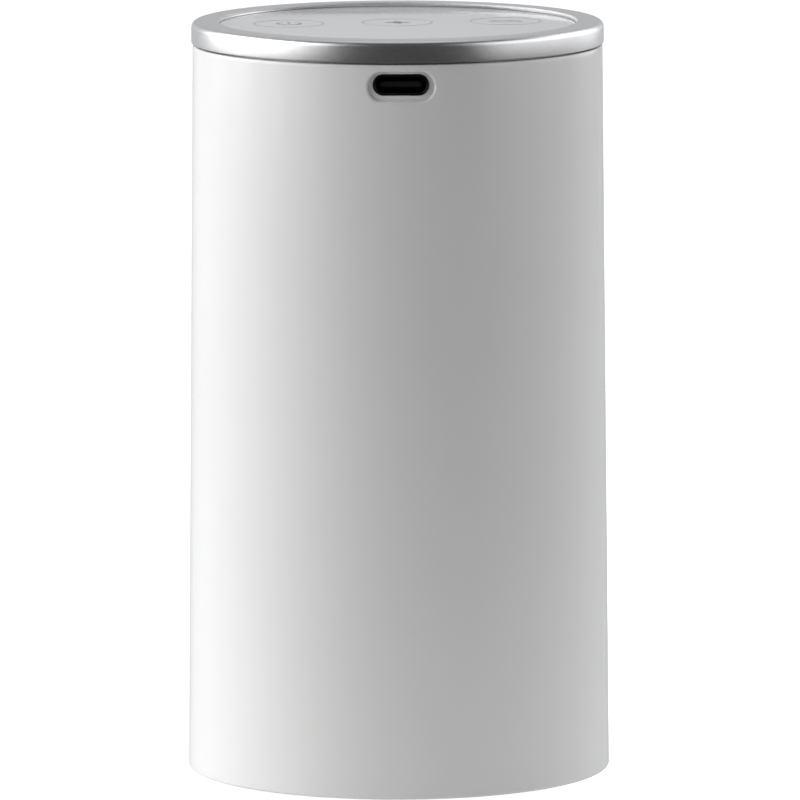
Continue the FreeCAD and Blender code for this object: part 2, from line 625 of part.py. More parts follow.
def light_shield():
    half_x = KEY_PITCH + WELL_R[1]
    shield = rounded_plate(half_x, WELL_R[1], 6.0, SHIELD_Z[0], SHIELD_Z[0] + 1.2)
    for x in KEY_XS:
        shield = shield.fuse(cylinder(WELL_R[1], SHIELD_Z[0], SHIELD_Z[1], x, 0))
    for x in KEY_XS:
        shield = shield.cut(cylinder(WELL_R[0], SHIELD_Z[0] - 1, SHIELD_Z[1] + 1, x, 0))
    return shield


def board_group():
    board = cylinder(BOARD_R, BOARD_BOTTOM_Z, BOARD_TOP_Z)
    board = board.fuse(block(-5.0, 5.0, -31.2, -25.0, BOARD_BOTTOM_Z, BOARD_TOP_Z)).removeSplitter()
    for x, y in BOARD_POSTS:
        board = board.cut(cylinder(1.1, BOARD_BOTTOM_Z - 1, BOARD_TOP_Z + 1, x, y))
    save("main_board", board)
    screws = []
    for x, y in BOARD_POSTS:
        shank = cylinder(0.95, BOARD_TOP_Z - 6.0, BOARD_TOP_Z, x, y)
        head = cylinder(1.9, BOARD_TOP_Z, BOARD_TOP_Z + 1.3, x, y)
        slot = block(x - 1.3, x + 1.3, y - 0.25, y + 0.25, BOARD_TOP_Z + 0.6, BOARD_TOP_Z + 2)
        screws.append(shank.fuse(head).cut(slot))
    save("board_screws", *screws)

    outside = socket_prism(0, SOCKET_MOUTH_Y, SOCKET_BACK_Y)
    inside = socket_prism(SOCKET_WALL, SOCKET_MOUTH_Y - 1, SOCKET_BACK_Y - SOCKET_WALL)
    save("usb_shell", outside.cut(inside))
    back = SOCKET_BACK_Y - SOCKET_WALL
    plug = socket_prism(SOCKET_WALL + 0.02, back - 2.2, back)
    tongue = block(-TONGUE_HALF_WIDTH, TONGUE_HALF_WIDTH, SOCKET_MOUTH_Y + 0.7, back - 2.0,
                   PORT_Z - TONGUE_HALF_HEIGHT, PORT_Z + TONGUE_HALF_HEIGHT)
    save("usb_tongue", plug.fuse(tongue))
    contacts = []
    for i in range(12):
        x = (i - 5.5) * 0.5
        for side in (-1, 1):
            face = PORT_Z + side * TONGUE_HALF_HEIGHT
            z0, z1 = sorted((face, face + side * 0.06))
            contacts.append(block(x - 0.13, x + 0.13, SOCKET_MOUTH_Y + 1.2, SOCKET_MOUTH_Y + 4.4,
                                  z0, z1))
    save("usb_contacts", *contacts)

    chip = block(8.0, 15.0, -20.0, -13.0, BOARD_TOP_Z, BOARD_TOP_Z + 1.0)
    save("control_chip", chip)
    parts = [block(-13, -9, -21, -17, BOARD_TOP_Z, BOARD_TOP_Z + 2.0)]
    parts += [block(x, x + 1.6, -14, -13.2, BOARD_TOP_Z, BOARD_TOP_Z + 0.8)
              for x in (-12.0, -9.0, -6.0, -3.0)]
    parts += [cylinder(2.5, BOARD_TOP_Z, BOARD_TOP_Z + 4.4, x, 20.0) for x in (-8.0, 0.0)]
    save("board_parts", *parts)
    socket = block(*FAN_SOCKET, BOARD_BOTTOM_Z - FAN_SOCKET_DEPTH, BOARD_BOTTOM_Z)
    save("fan_socket", socket)
    save("touch_pads", *[touch_pad(x) for x in KEY_XS])
    save("key_leds", *[block(x + s * 4.9 - 0.4, x + s * 4.9 + 0.4, -0.8, 0.8,
                             BOARD_TOP_Z, BOARD_TOP_Z + 0.6) for x in KEY_XS for s in (-1, 1)])
    save("light_shield", light_shield())


# ---- trim ring and touch panel ------------------------------------------------------------------
RING_BOTTOM_Z = SHELL_TOP_Z + 0.3
SKIRT_R, SKIRT_Z = (30.3, 31.8), 121.3
LEDGE_THICKNESS = 1.4


def top_ring():
    ledge_bottom = LEDGE_Z - LEDGE_THICKNESS
    ring = spun([
        (RING_R, RING_BOTTOM_Z, 0.15), (RING_R, BODY_TOP_Z, 1.0),
        (PANEL_R + 0.35, BODY_TOP_Z, 0.0), (PANEL_R + 0.08, BODY_TOP_Z - 0.3),
        (PANEL_R + 0.08, LEDGE_Z), (LEDGE_R, LEDGE_Z), (LEDGE_R, ledge_bottom, 0.3),
        (SKIRT_R[0], ledge_bottom), (SKIRT_R[0], SKIRT_Z), (SKIRT_R[1], SKIRT_Z, 0.2),
        (SKIRT_R[1], RING_BOTTOM_Z),
    ])
    for angle in CLIP_ANGLES:
        leg = tube(SKIRT_R[0], SKIRT_R[1], CLIP_WINDOW_Z[0] - 0.2, SKIRT_Z + 0.2)
        leg = leg.common(block(25, 35, -4.0, 4.0, 100, 130))
        low, high = CLIP_WINDOW_Z[0] + 0.3, CLIP_WINDOW_Z[1] - 0.3
        barb_face = Part.Face(Part.makePolygon([
            Vector(SKIRT_R[0] + 0.3, -3.8, high), Vector(SKIRT_R[0] - 1.1, -3.8, high),
            Vector(SKIRT_R[0] + 0.3, -3.8, low), Vector(SKIRT_R[0] + 0.3, -3.8, high)]))
        ring = ring.fuse(turned(leg.fuse(barb_face.extrude(Vector(0, 7.6, 0))), angle))
    return ring.removeSplitter()


def top_group():
    save("top_ring", top_ring())
    save("panel_tape", tube(LEDGE_R + 0.1, PANEL_R - 0.1, LEDGE_Z, PANEL_BOTTOM_Z))
    panel = spun([(0, PANEL_BOTTOM_Z), (PANEL_R, PANEL_BOTTOM_Z), (PANEL_R, PANEL_TOP_Z, 0.3),
                  (0, PANEL_TOP_Z)])
    save("touch_panel", panel)


def main():
    os.makedirs(OUT, exist_ok=True)
    for old in os.listdir(OUT):
        if old.endswith(".step"):
            os.remove(os.path.join(OUT, old))
    base()
    filter_cartridge()
    shell_group()
    deck_group()
    fan_group()
    tray_group()
    save("fan_lead", fan_lead(-1), fan_lead(1))
    board_group()
    top_group()


main()
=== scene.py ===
"""The looks of a small cylindrical air purifier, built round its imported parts, in metres."""
import math

import bmesh
import bpy
from mathutils import Matrix, Vector


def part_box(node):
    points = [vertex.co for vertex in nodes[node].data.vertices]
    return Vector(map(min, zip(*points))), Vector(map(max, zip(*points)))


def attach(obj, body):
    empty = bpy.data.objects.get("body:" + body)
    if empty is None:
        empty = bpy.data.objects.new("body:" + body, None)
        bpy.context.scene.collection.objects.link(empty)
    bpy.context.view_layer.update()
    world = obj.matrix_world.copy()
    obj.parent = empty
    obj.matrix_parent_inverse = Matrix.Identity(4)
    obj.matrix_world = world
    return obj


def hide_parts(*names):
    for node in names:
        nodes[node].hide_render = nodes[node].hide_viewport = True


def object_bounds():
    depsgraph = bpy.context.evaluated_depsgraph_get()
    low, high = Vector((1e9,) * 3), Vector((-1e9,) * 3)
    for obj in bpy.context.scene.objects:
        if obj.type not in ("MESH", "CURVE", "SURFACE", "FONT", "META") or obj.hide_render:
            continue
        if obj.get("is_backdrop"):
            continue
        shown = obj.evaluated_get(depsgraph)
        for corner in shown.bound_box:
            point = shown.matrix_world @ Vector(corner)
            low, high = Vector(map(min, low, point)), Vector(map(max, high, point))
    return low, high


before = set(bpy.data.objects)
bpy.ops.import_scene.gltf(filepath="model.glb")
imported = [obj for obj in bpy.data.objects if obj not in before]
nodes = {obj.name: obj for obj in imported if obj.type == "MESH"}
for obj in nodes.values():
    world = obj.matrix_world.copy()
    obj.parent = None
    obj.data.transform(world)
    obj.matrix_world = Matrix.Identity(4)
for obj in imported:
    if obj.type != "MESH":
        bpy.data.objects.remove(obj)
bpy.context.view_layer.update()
scene = bpy.context.scene
MM = 0.001

# ---- camera -------------------------------------------------------------------------------------
# A long lens, well under two metres away, that looks slightly down on the side with the socket. It is
# turned a hair aside from the object's axis and off level. Angles are in radians.
CAMERA_DISTANCE, CAMERA_HEIGHT = 1.700, 0.29927
CAMERA_SIDE, CAMERA_DOWN = math.radians(-0.948), 0.13846
CAMERA_ROLL, CAMERA_ASIDE = -0.0019, -0.00018
LENS = 460.935

camera = bpy.data.objects.new("camera", bpy.data.cameras.new("camera"))
scene.collection.objects.link(camera)
scene.camera = camera
camera.data.lens = LENS
camera.data.clip_start, camera.data.clip_end = 0.1, 50.0
camera.location = (CAMERA_DISTANCE * math.sin(CAMERA_SIDE),
                   -CAMERA_DISTANCE * math.cos(CAMERA_SIDE), CAMERA_HEIGHT)
turn = (Matrix.Rotation(CAMERA_SIDE + CAMERA_ASIDE, 3, "Z")
        @ Matrix.Rotation(math.pi / 2 - CAMERA_DOWN, 3, "X") @ Matrix.Rotation(CAMERA_ROLL, 3, "Z"))
camera.rotation_euler = turn.to_euler()

# ---- table and studio light ---------------------------------------------------------------------
# A pale table with a pool of light painted round the object as a glow in its top, three soft boxes on
# the left, two on the right and one behind and above. The room is left dim in front, so that the
# metal has depth.
TABLE_HALF = 6.0
# POOL_GLOW is a painted pool of light: the glow of the table's top round the object.
POOL_GLOW, TABLE_SEEN_GLOW = 0.372, 0.80
POOL_IN, POOL_OUT = 0.08, 0.20
BOUNCE_WHITE, SEEN_WHITE, GRAIN_WHITE = 0.45, 0.88, 0.02

table = bpy.data.objects.new("table", bpy.data.meshes.new("table"))
scene.collection.objects.link(table)
bm = bmesh.new()
bmesh.ops.create_grid(bm, x_segments=1, y_segments=1, size=TABLE_HALF)
bm.to_mesh(table.data)
bm.free()
table.visible_glossy = False
table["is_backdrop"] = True


class Value:
    """A socket in a node tree, wrapped so that shader maths on it reads as plain maths."""

    def __init__(self, tree, socket):
        self.tree, self.socket = tree, socket

    def maths(self, operation, *values):
        node = self.tree.nodes.new("ShaderNodeMath")
        node.operation = operation
        for slot, value in zip(node.inputs, values):
            connect(self.tree, slot, value)
        return Value(self.tree, node.outputs[0])

    def __add__(self, other):
        return self.maths("ADD", self, other)

    def __mul__(self, other):
        return self.maths("MULTIPLY", self, other)

    def __radd__(self, other):
        return self.maths("ADD", other, self)

    def __rmul__(self, other):
        return self.maths("MULTIPLY", other, self)

    def __lt__(self, other):
        return self.maths("LESS_THAN", self, other)

    def __gt__(self, other):
        return self.maths("GREATER_THAN", self, other)


def connect(tree, socket, value):
    """Sets a socket to a number, colour or vector, or links it to a Value."""
    if isinstance(value, Value):
        tree.links.new(value.socket, socket)
    elif isinstance(value, tuple) and len(value) == 3 and socket.type == "RGBA":
        socket.default_value = (*value, 1.0)
    else:
        socket.default_value = value


class Nodes:
    """A node tree, emptied and then built by adding nodes one at a time."""

    def __init__(self, owner):
        owner.use_nodes = True
        self.tree = owner.node_tree
        self.tree.nodes.clear()

    def node(self, kind, settings=None, output=0, **sockets):
        """Adds one node: its settings first, then its sockets, by name with _ for a space. A list
        fills the sockets that share a name."""
        node = self.tree.nodes.new(kind)
        for key, value in (settings or {}).items():
            setattr(node, key, value)
        for key, value in sockets.items():
            name = key.replace("_", " ")
            found = [s for s in node.inputs if s.name == name and s.enabled]
            for socket, one in zip(found, value if isinstance(value, list) else [value]):
                connect(self.tree, socket, one)
        if not node.outputs:
            return None
        enabled = [s for s in node.outputs if s.enabled]
        wanted = output if isinstance(output, int) else [s.name for s in enabled].index(output)
        return Value(self.tree, enabled[wanted])


class Finish(Nodes):
    """A material for one surface."""

    def __init__(self, name):
        self.material = bpy.data.materials.new(name)
        super().__init__(self.material)

    def place(self):
        """The point on the piece, in metres."""
        return self.node("ShaderNodeTexCoord", output="Object")

    def noise(self, size, detail=2.0, rough=0.5, at=None):
        """Noise from 0 to 1 with lumps of about the given size, in metres."""
        return self.node("ShaderNodeTexNoise", Vector=at or self.place(), Scale=1 / size,
                         Detail=detail, Roughness=rough)

    def waves(self, way, pitch, warp=0.0):
        """Parallel waves from 0 to 1 along one axis. At scale 1 they are 2 pi / 20 apart."""
        return self.node("ShaderNodeTexWave", {"bands_direction": way}, output="Fac",
                         Vector=self.place(), Scale=2 * math.pi / 20 / pitch, Distortion=warp)

    def shades(self, amount, dark, light):
        """A colour between dark and light, by an amount from 0 to 1."""
        return self.node("ShaderNodeMix", {"data_type": "RGBA"}, Factor=amount, A=dark, B=light)

    def bump(self, height, depth):
        """A normal for a height that runs from 0 to 1 over the given depth, in metres."""
        return self.node("ShaderNodeBump", Height=height, Distance=depth, Strength=1.0)

    def made(self, shader):
        """Ends the material in a shader."""
        self.node("ShaderNodeOutputMaterial", Surface=shader)
        return self.material

    def surface(self, **sockets):
        """Ends the material in a Principled surface."""
        return self.made(self.node("ShaderNodeBsdfPrincipled", **sockets))


def paint(material, piece):
    piece.data.materials.clear()
    piece.data.materials.append(material)


def grey(level):
    return (level, level, level)


def table_top():
    """White to the eye, and greyer to the light that bounces off it, as a far larger room is; to that
    light it also glows in a painted pool of light round the object.
    """
    finish = Finish("table_top")
    grain = finish.noise(0.02, 3.0)
    out = finish.node("ShaderNodeVectorMath", {"operation": "LENGTH"}, output="Value",
                      Vector=finish.place())
    # A painted pool of light: the top glows round the object, seen only by the light that bounces.
    pool = finish.node("ShaderNodeMapRange", {"interpolation_type": "SMOOTHSTEP"}, Value=out,
                       From_Min=POOL_IN, From_Max=POOL_OUT, To_Min=1.0, To_Max=0.0)
    painted_pool_glow = finish.shades(pool, grey(0.0), grey(POOL_GLOW))
    tops = []
    for pale, glow in ((BOUNCE_WHITE, painted_pool_glow), (SEEN_WHITE, grey(TABLE_SEEN_GLOW))):
        shade = finish.shades(grain, grey(pale), grey(pale + GRAIN_WHITE))
        tops.append(finish.node("ShaderNodeBsdfPrincipled", Base_Color=shade, Roughness=0.8,
                                Emission_Color=glow, Emission_Strength=1.0))
    seen = finish.node("ShaderNodeLightPath", output="Is Camera Ray")
    return finish.made(finish.node("ShaderNodeMixShader", Fac=seen, Shader=tops))


paint(table_top(), table)

BACKDROP, ROOM_FRONT, ROOM_BACK = 1.0, 0.056, 0.55
ROOM_TURNS = -0.3
AIR_COLOUR = (0.97, 0.985, 1.0)
AIM_HEIGHT = 0.1

scene.world = bpy.data.worlds.new("studio")
studio = Nodes(scene.world)
way_back = studio.node("ShaderNodeSeparateXYZ", output="Y",
                       Vector=studio.node("ShaderNodeTexCoord", output="Generated"))
depth = studio.node("ShaderNodeMapRange", {"interpolation_type": "SMOOTHSTEP"}, Value=way_back,
                    From_Min=ROOM_TURNS)
front, back, backdrop = [studio.node("ShaderNodeBackground", Color=AIR_COLOUR, Strength=radiance)
                         for radiance in (ROOM_FRONT, ROOM_BACK, BACKDROP)]
room = studio.node("ShaderNodeMixShader", Fac=depth, Shader=[front, back])
seen = studio.node("ShaderNodeLightPath", output="Is Camera Ray")
studio.node("ShaderNodeOutputWorld",
            Surface=studio.node("ShaderNodeMixShader", Fac=seen, Shader=[room, backdrop]))
scene.view_settings.view_transform = "Standard"


def soft_box(name, azimuth, distance, height, width, tall, power):
    """A soft box turned to the object. Azimuth 0 is the camera's side, and 90 the object's right."""
    lamp = bpy.data.lights.new(name, "AREA")
    lamp.shape, lamp.size, lamp.size_y, lamp.energy = "RECTANGLE", width, tall, power
    box = bpy.data.objects.new(name, lamp)
    scene.collection.objects.link(box)
    angle = math.radians(azimuth)
    box.location = (distance * math.sin(angle), -distance * math.cos(angle), height)
    way = Vector((0, 0, AIM_HEIGHT)) - box.location
    box.rotation_euler = way.to_track_quat("-Z", "Y").to_euler()


soft_box("left_box", -108, 1.0, 0.45, 0.80, 0.9, 5.85)
soft_box("left_middle", -85, 1.0, 0.45, 0.75, 0.9, 4.8)
soft_box("left_fill", -62, 1.0, 0.45, 0.75, 0.9, 3.75)
soft_box("right_box", 128, 1.0, 0.45, 0.65, 0.9, 2.4)
soft_box("right_fill", 79, 1.0, 0.45, 1.25, 0.9, 4.7)
soft_box("top_box", 180, 0.25, 1.3, 0.9, 0.9, 1.3)

# ---- base ---------------------------------------------------------------------------------------
# A matt white ABS cup that the body sits on, with a spigot for the filter and a bar across the
# hollow underneath to pinch and pull it off by. Moulded from a spark-eroded tool.
MOULD_EDGE = 0.12 * MM
CAD_WELD = 0.002 * MM
FLAT_WITHIN, EASE_ABOVE = math.radians(0.6), math.radians(35)


def as_piece(name, bm, sharp=30.0):
    """Turns a finished bmesh into a smooth-shaded object with its hard edges kept sharp."""
    limit = math.radians(sharp)
    for face in bm.faces:
        face.smooth = True
    for edge in bm.edges:
        edge.smooth = len(edge.link_faces) == 2 and edge.calc_face_angle(0.0) < limit
    mesh = bpy.data.meshes.new(name)
    bm.to_mesh(mesh)
    bm.free()
    piece = bpy.data.objects.new(name, mesh)
    scene.collection.objects.link(piece)
    return piece


def dress(piece, node, body, material):
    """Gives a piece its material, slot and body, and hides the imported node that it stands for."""
    paint(material, piece)
    if node:
        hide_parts(node)
    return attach(piece, body)


def eased(name, node, width, body, material):
    """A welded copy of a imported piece, smooth where it is round, with its hard edges softened."""
    bm = bmesh.new()
    bm.from_mesh(nodes[node].data)
    bmesh.ops.remove_doubles(bm, verts=bm.verts, dist=CAD_WELD)
    bmesh.ops.dissolve_limit(bm, angle_limit=FLAT_WITHIN, use_dissolve_boundaries=False,
                             verts=bm.verts, edges=bm.edges, delimit={"NORMAL"})
    piece = as_piece(name, bm)
    ease = piece.modifiers.new("ease", "BEVEL")
    ease.width, ease.segments, ease.profile = width, 2, 0.5
    ease.limit_method, ease.angle_limit = "ANGLE", EASE_ABOVE
    ease.harden_normals = True
    return dress(piece, node, body, material)


def moulded(name, dark, light, rough, grain, depth):
    """Plastic from a spark-eroded tool: an even fine grain, and a trace of cloud in the colour."""
    finish = Finish(name)
    cloud = finish.noise(14.0 * MM, 2.0)
    fine = finish.noise(grain / 2, 3.0, 0.6)
    spark = finish.node("ShaderNodeTexVoronoi", {"feature": "SMOOTH_F1"}, output="Distance",
                        Vector=finish.place(), Scale=1 / grain)
    return finish.surface(Base_Color=finish.shades(0.6 * cloud + 0.4 * fine, dark, light),
                          Roughness=rough + 0.10 * fine, IOR=1.5,
                          Normal=finish.bump(0.6 * spark + 0.4 * fine, depth))


base_plastic = moulded("base_white", (0.74, 0.74, 0.73), (0.80, 0.80, 0.795), 0.42, 0.35 * MM,
                       0.012 * MM)
eased("base_body", "base_cover", MOULD_EDGE, "base", base_plastic)

# ---- foot, gasket and base magnets --------------------------------------------------------------
# A grey rubber ring glued into a groove, with two treads cut in its underside; a silicone cord in
# the rim's groove; and three nickel-plated magnets pressed into pockets.
FOOT_IN, FOOT_OUT = 24.0 * MM, 28.5 * MM
TREAD_DEEP, TREAD_HALF_W = 0.35 * MM, 0.3 * MM
WELD = 0.0001 * MM


def rounded(corners, steps=8):
    """Points along a profile whose corners are (radius, z) or (radius, z, rounding)."""
    points = []
    for i, corner in enumerate(corners):
        here = Vector(corner[:2])
        size = corner[2] if len(corner) > 2 else 0
        if not size:
            points.append(here)
            continue
        before = (Vector(corners[i - 1][:2]) - here).normalized()
        after = (Vector(corners[(i + 1) % len(corners)][:2]) - here).normalized()
        half = before.angle(after) / 2
        start, end = (here + way * size / math.tan(half) for way in (before, after))
        centre = here + (before + after).normalized() * size / math.sin(half)
        from_angle = math.atan2(*(start - centre).yx)
        sweep_angle = math.atan2(*(end - centre).yx) - from_angle
        sweep_angle = (sweep_angle + math.pi) % (2 * math.pi) - math.pi
        points += [centre + size * Vector((math.cos(a), math.sin(a))) for a in
                   (from_angle + sweep_angle * k / steps for k in range(steps + 1))]
    return points


def spin_profile(bm, points, sides, closed=True):
    """Turns a profile of (radius, z) points round the Z axis."""
    verts = [bm.verts.new((p.x, 0, p.y)) for p in points]
    pairs = list(zip(verts, verts[1:])) + ([(verts[-1], verts[0])] if closed else [])
    edges = [bm.edges.new(pair) for pair in pairs]
    bmesh.ops.spin(bm, geom=verts + edges, cent=(0, 0, 0), axis=(0, 0, 1), angle=2 * math.pi,
                   steps=sides, use_merge=True)
    bmesh.ops.remove_doubles(bm, verts=bm.verts, dist=WELD)
    bmesh.ops.recalc_face_normals(bm, faces=bm.faces)


def foot_tread():
    bm = bmesh.new()
    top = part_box("foot_ring")[1].z
    profile = [(FOOT_IN, 0, 0.4 * MM)]
    for share in (1 / 3, 2 / 3):
        middle = FOOT_IN + share * (FOOT_OUT - FOOT_IN)
        profile += [(middle - TREAD_HALF_W, 0, 0.1 * MM), (middle - TREAD_HALF_W, TREAD_DEEP),
                    (middle + TREAD_HALF_W, TREAD_DEEP), (middle + TREAD_HALF_W, 0, 0.1 * MM)]
    profile += [(FOOT_OUT, 0, 0.4 * MM), (FOOT_OUT, top), (FOOT_IN, top)]
    spin_profile(bm, rounded(profile, 4), 160)
    return as_piece("foot_tread", bm)


def rubber(name, dark, light, rough=0.62):
    """Soft rubber or silicone: a fine matt skin with a little dust-grey cloud."""
    finish = Finish(name)
    cloud = finish.noise(5.0 * MM, 3.0)
    skin = finish.noise(0.12 * MM, 3.0, 0.6)
    return finish.surface(Base_Color=finish.shades(0.6 * cloud + 0.4 * skin, dark, light),
                          Roughness=rough + 0.15 * skin, IOR=1.45,
                          Normal=finish.bump(skin, 0.008 * MM))


def metal(name, dark, light, rough, grain, stretch=1.0, depth=0.003 * MM):
    """Bare or plated metal with fine marks, drawn out along Z by stretch."""
    finish = Finish(name)
    at = finish.node("ShaderNodeMapping", Vector=finish.place(), Scale=(1.0, 1.0, stretch))
    marks = finish.noise(grain, 3.0, 0.6, at)
    stain = finish.noise(3.0 * MM, 2.0)
    return finish.surface(Base_Color=finish.shades(0.5 * marks + 0.5 * stain, dark, light),
                          Metallic=1.0, Roughness=rough + 0.14 * marks,
                          Normal=finish.bump(marks, depth))


def keep(node, material):
    """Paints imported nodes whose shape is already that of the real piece."""
    paint(material, nodes[node])


dress(foot_tread(), "foot_ring", "base",
      rubber("foot_rubber", (0.16, 0.16, 0.165), (0.22, 0.22, 0.225)))
silicone = rubber("soft_seal", (0.50, 0.51, 0.52), (0.60, 0.61, 0.62), 0.45)
keep("base_gasket", silicone)
nickel = metal("magnet_plate", (0.60, 0.60, 0.58), (0.74, 0.73, 0.70), 0.16, 0.25 * MM)
keep("base_magnets", nickel)

# ---- filter cartridge ---------------------------------------------------------------------------
# Pleated fleece round a perforated core, with a carbon foam sleeve inside and a nylon net outside,
# potted between two moulded end caps. A foam ring on top seals it against the fan deck.
FILTER_LOW, FILTER_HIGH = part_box("filter_bottom_cap")[0].z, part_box("filter_top_cap")[1].z
CAP_R, CAP_BORE, CAP_LIP_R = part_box("filter_bottom_cap")[1].x, 12.0 * MM, 26.1 * MM
CAP_THICK, CAP_LIP = 2.5 * MM, 2.5 * MM
MEDIA_LOW, MEDIA_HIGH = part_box("filter_media")[0].z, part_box("filter_media")[1].z
MEDIA_IN, MEDIA_OUT = 15.6 * MM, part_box("filter_media")[1].x
PLEATS, FLEECE = 64, 0.36 * MM
FOLD_ROUND, PLEAT_WANDER, PLEAT_LAYERS = 0.22 * MM, 0.16 * MM, 14
NET_R, NET_STRAND, NET_PITCH = 25.7 * MM, 0.26 * MM, 1.5 * MM
DISH_R, SEAL_IN = (14.0 * MM, 18.6 * MM), 19.5 * MM


def end_cap(name, node, plate, way):
    """A ring-shaped cap from its outer face inwards, with a raised bead round the bore."""
    bm = bmesh.new()
    inner, tip = plate + way * CAP_THICK, plate + way * (CAP_THICK + CAP_LIP)
    dish = plate + way * 0.5 * MM
    spin_profile(bm, rounded([
        (CAP_BORE, plate, 0.4 * MM), (DISH_R[0] - 0.4 * MM, plate, 0.3 * MM),
        (DISH_R[0], dish, 0.3 * MM), (DISH_R[1], dish, 0.3 * MM),
        (DISH_R[1] + 0.4 * MM, plate, 0.3 * MM), (CAP_R, plate, 0.6 * MM), (CAP_R, tip, 0.2 * MM),
        (CAP_LIP_R, tip, 0.2 * MM), (CAP_LIP_R, inner), (CAP_BORE, inner, 0.2 * MM)], 4), 128)
    return dress(as_piece(name, bm), node, "filter", filter_plastic)


def loop_edges(bm, points):
    """A closed loop of edges through the points. Points that fall together are made one."""
    kept = [p for i, p in enumerate(points) if (p - points[i - 1]).length > WELD]
    verts = [bm.verts.new(p) for p in kept]
    return [bm.edges.new((a, b)) for a, b in zip(verts, verts[1:] + verts[:1])]


def drawn_on(bm, edges):
    """Extrudes edges into faces, and returns the new edges across the end and their points."""
    made = bmesh.ops.extrude_edge_only(bm, edges=edges)["geom"]
    fresh = {g for g in made if isinstance(g, bmesh.types.BMVert)}
    across = [g for g in made if isinstance(g, bmesh.types.BMEdge) and fresh.issuperset(g.verts)]
    return across, fresh


def pleats():
    """A fleece band folded to and fro round the cartridge, each fold wandering a little."""
    bm = bmesh.new()
    near, far = MEDIA_IN + FLEECE / 2 + 0.1 * MM, MEDIA_OUT - FLEECE / 2 - 0.1 * MM
    outline = []
    for i in range(PLEATS):
        for turn, radius in ((i, near), (i + 0.5, far)):
            middle = 2 * math.pi * turn / PLEATS
            spread = FOLD_ROUND / radius
            inward = FOLD_ROUND * (1 if radius == far else -1)
            for side, drop in ((-1, inward), (0, 0.0), (1, inward)):
                angle, reach = middle + side * spread, radius - drop
                outline.append(Vector((reach * math.cos(angle), reach * math.sin(angle),
                                       MEDIA_LOW)))
    edges = loop_edges(bm, outline)
    for layer in range(1, PLEAT_LAYERS + 1):
        edges, fresh = drawn_on(bm, edges)
        up = MEDIA_LOW + (MEDIA_HIGH - MEDIA_LOW) * layer / PLEAT_LAYERS
        for vert in fresh:
            vert.co.z = up
    for vert in bm.verts:
        angle, up = math.atan2(vert.co.y, vert.co.x), vert.co.z / MM
        wave = math.sin(7 * angle + 0.21 * up) + math.sin(19 * angle - 0.13 * up)
        away = PLEAT_WANDER * wave / 2
        vert.co.xy += away * Vector((-math.sin(angle), math.cos(angle)))
    bmesh.ops.recalc_face_normals(bm, faces=bm.faces)
    bmesh.ops.solidify(bm, geom=bm.faces[:], thickness=FLEECE)
    reach_in = min(v.co.xy.length for v in bm.verts)
    reach_out = max(v.co.xy.length for v in bm.verts)
    for vert in bm.verts:
        radius = vert.co.xy.length
        share = (radius - reach_in) / (reach_out - reach_in)
        vert.co.xy *= (MEDIA_IN + share * (MEDIA_OUT - MEDIA_IN)) / radius
    return as_piece("pleated_fleece", bm, 60.0)


def net_tube():
    """A square net of round-edged strands, welded where they cross."""
    bm = bmesh.new()
    around = round(2 * math.pi * NET_R / NET_PITCH)
    rows = round((MEDIA_HIGH - MEDIA_LOW) / NET_PITCH)
    bmesh.ops.create_circle(bm, segments=around, radius=NET_R,
                            matrix=Matrix.Translation((0, 0, MEDIA_LOW)))
    edges = bm.edges[:]
    for row in range(1, rows + 1):
        edges, fresh = drawn_on(bm, edges)
        for vert in fresh:
            vert.co.z = MEDIA_LOW + (MEDIA_HIGH - MEDIA_LOW) * row / rows
    bmesh.ops.recalc_face_normals(bm, faces=bm.faces)
    bmesh.ops.wireframe(bm, faces=bm.faces[:], thickness=NET_STRAND, use_replace=True,
                        use_boundary=True, use_even_offset=True)
    return as_piece("nylon_net", bm, 50.0)


def seal_ring():
    bm = bmesh.new()
    low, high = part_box("filter_seal")
    spin_profile(bm, rounded([(SEAL_IN, low.z, 0.3 * MM), (high.x, low.z, 0.3 * MM),
                              (high.x, high.z, 0.6 * MM), (SEAL_IN, high.z, 0.6 * MM)], 4), 128)
    return as_piece("foam_ring", bm)


def fleece():
    """Melt-blown fleece: tangled fibres a few hundredths thick, a little grey at random through the
    felt.
    """
    finish = Finish("filter_paper")
    fibres = finish.noise(0.09 * MM, 4.0, 0.7)
    felt = finish.noise(0.6 * MM, 3.0)
    return finish.surface(Base_Color=finish.shades(0.5 * fibres + 0.5 * felt, (0.66, 0.67, 0.66),
                                                   (0.82, 0.83, 0.82)),
                          Roughness=0.85, Normal=finish.bump(fibres, 0.03 * MM))


def cells(name, dark, light, cell, depth):
    """Open-cell foam: round cells with thin struts between them. The hollows of the cells are painted
    darker as their shade, and the struts lighter.
    """
    finish = Finish(name)
    strut = finish.node("ShaderNodeTexVoronoi", {"feature": "DISTANCE_TO_EDGE"}, output="Distance",
                        Vector=finish.place(), Scale=1 / cell)
    # The struts' height, also used as painted shade: dark in the cell hollows, light on the struts.
    wall = finish.node("ShaderNodeMapRange", Value=strut, From_Min=0.0, From_Max=0.22,
                       To_Min=1.0, To_Max=0.0)
    return finish.surface(Base_Color=finish.shades(wall, dark, light), Roughness=0.9,
                          Normal=finish.bump(wall, depth))


filter_plastic = moulded("filter_plastic", (0.70, 0.71, 0.71), (0.78, 0.79, 0.79), 0.45, 0.4 * MM,
                         0.012 * MM)
end_cap("lower_cap", "filter_bottom_cap", FILTER_LOW, 1)
end_cap("upper_cap", "filter_top_cap", FILTER_HIGH, -1)
eased("core_tube", "filter_core", 0.1 * MM, "filter", filter_plastic)
dress(pleats(), "filter_media", "filter", fleece())
keep("carbon_sleeve", cells("carbon_foam", (0.012, 0.012, 0.013), (0.055, 0.055, 0.058), 0.7 * MM,
                            0.25 * MM))
nylon = rubber("filter_net", (0.66, 0.68, 0.70), (0.78, 0.79, 0.80), 0.40)
dress(net_tube(), "filter_net", "filter", nylon)
dress(seal_ring(), "filter_seal", "filter",
      cells("foam_seal", (0.05, 0.05, 0.052), (0.14, 0.14, 0.145), 0.45 * MM, 0.10 * MM))

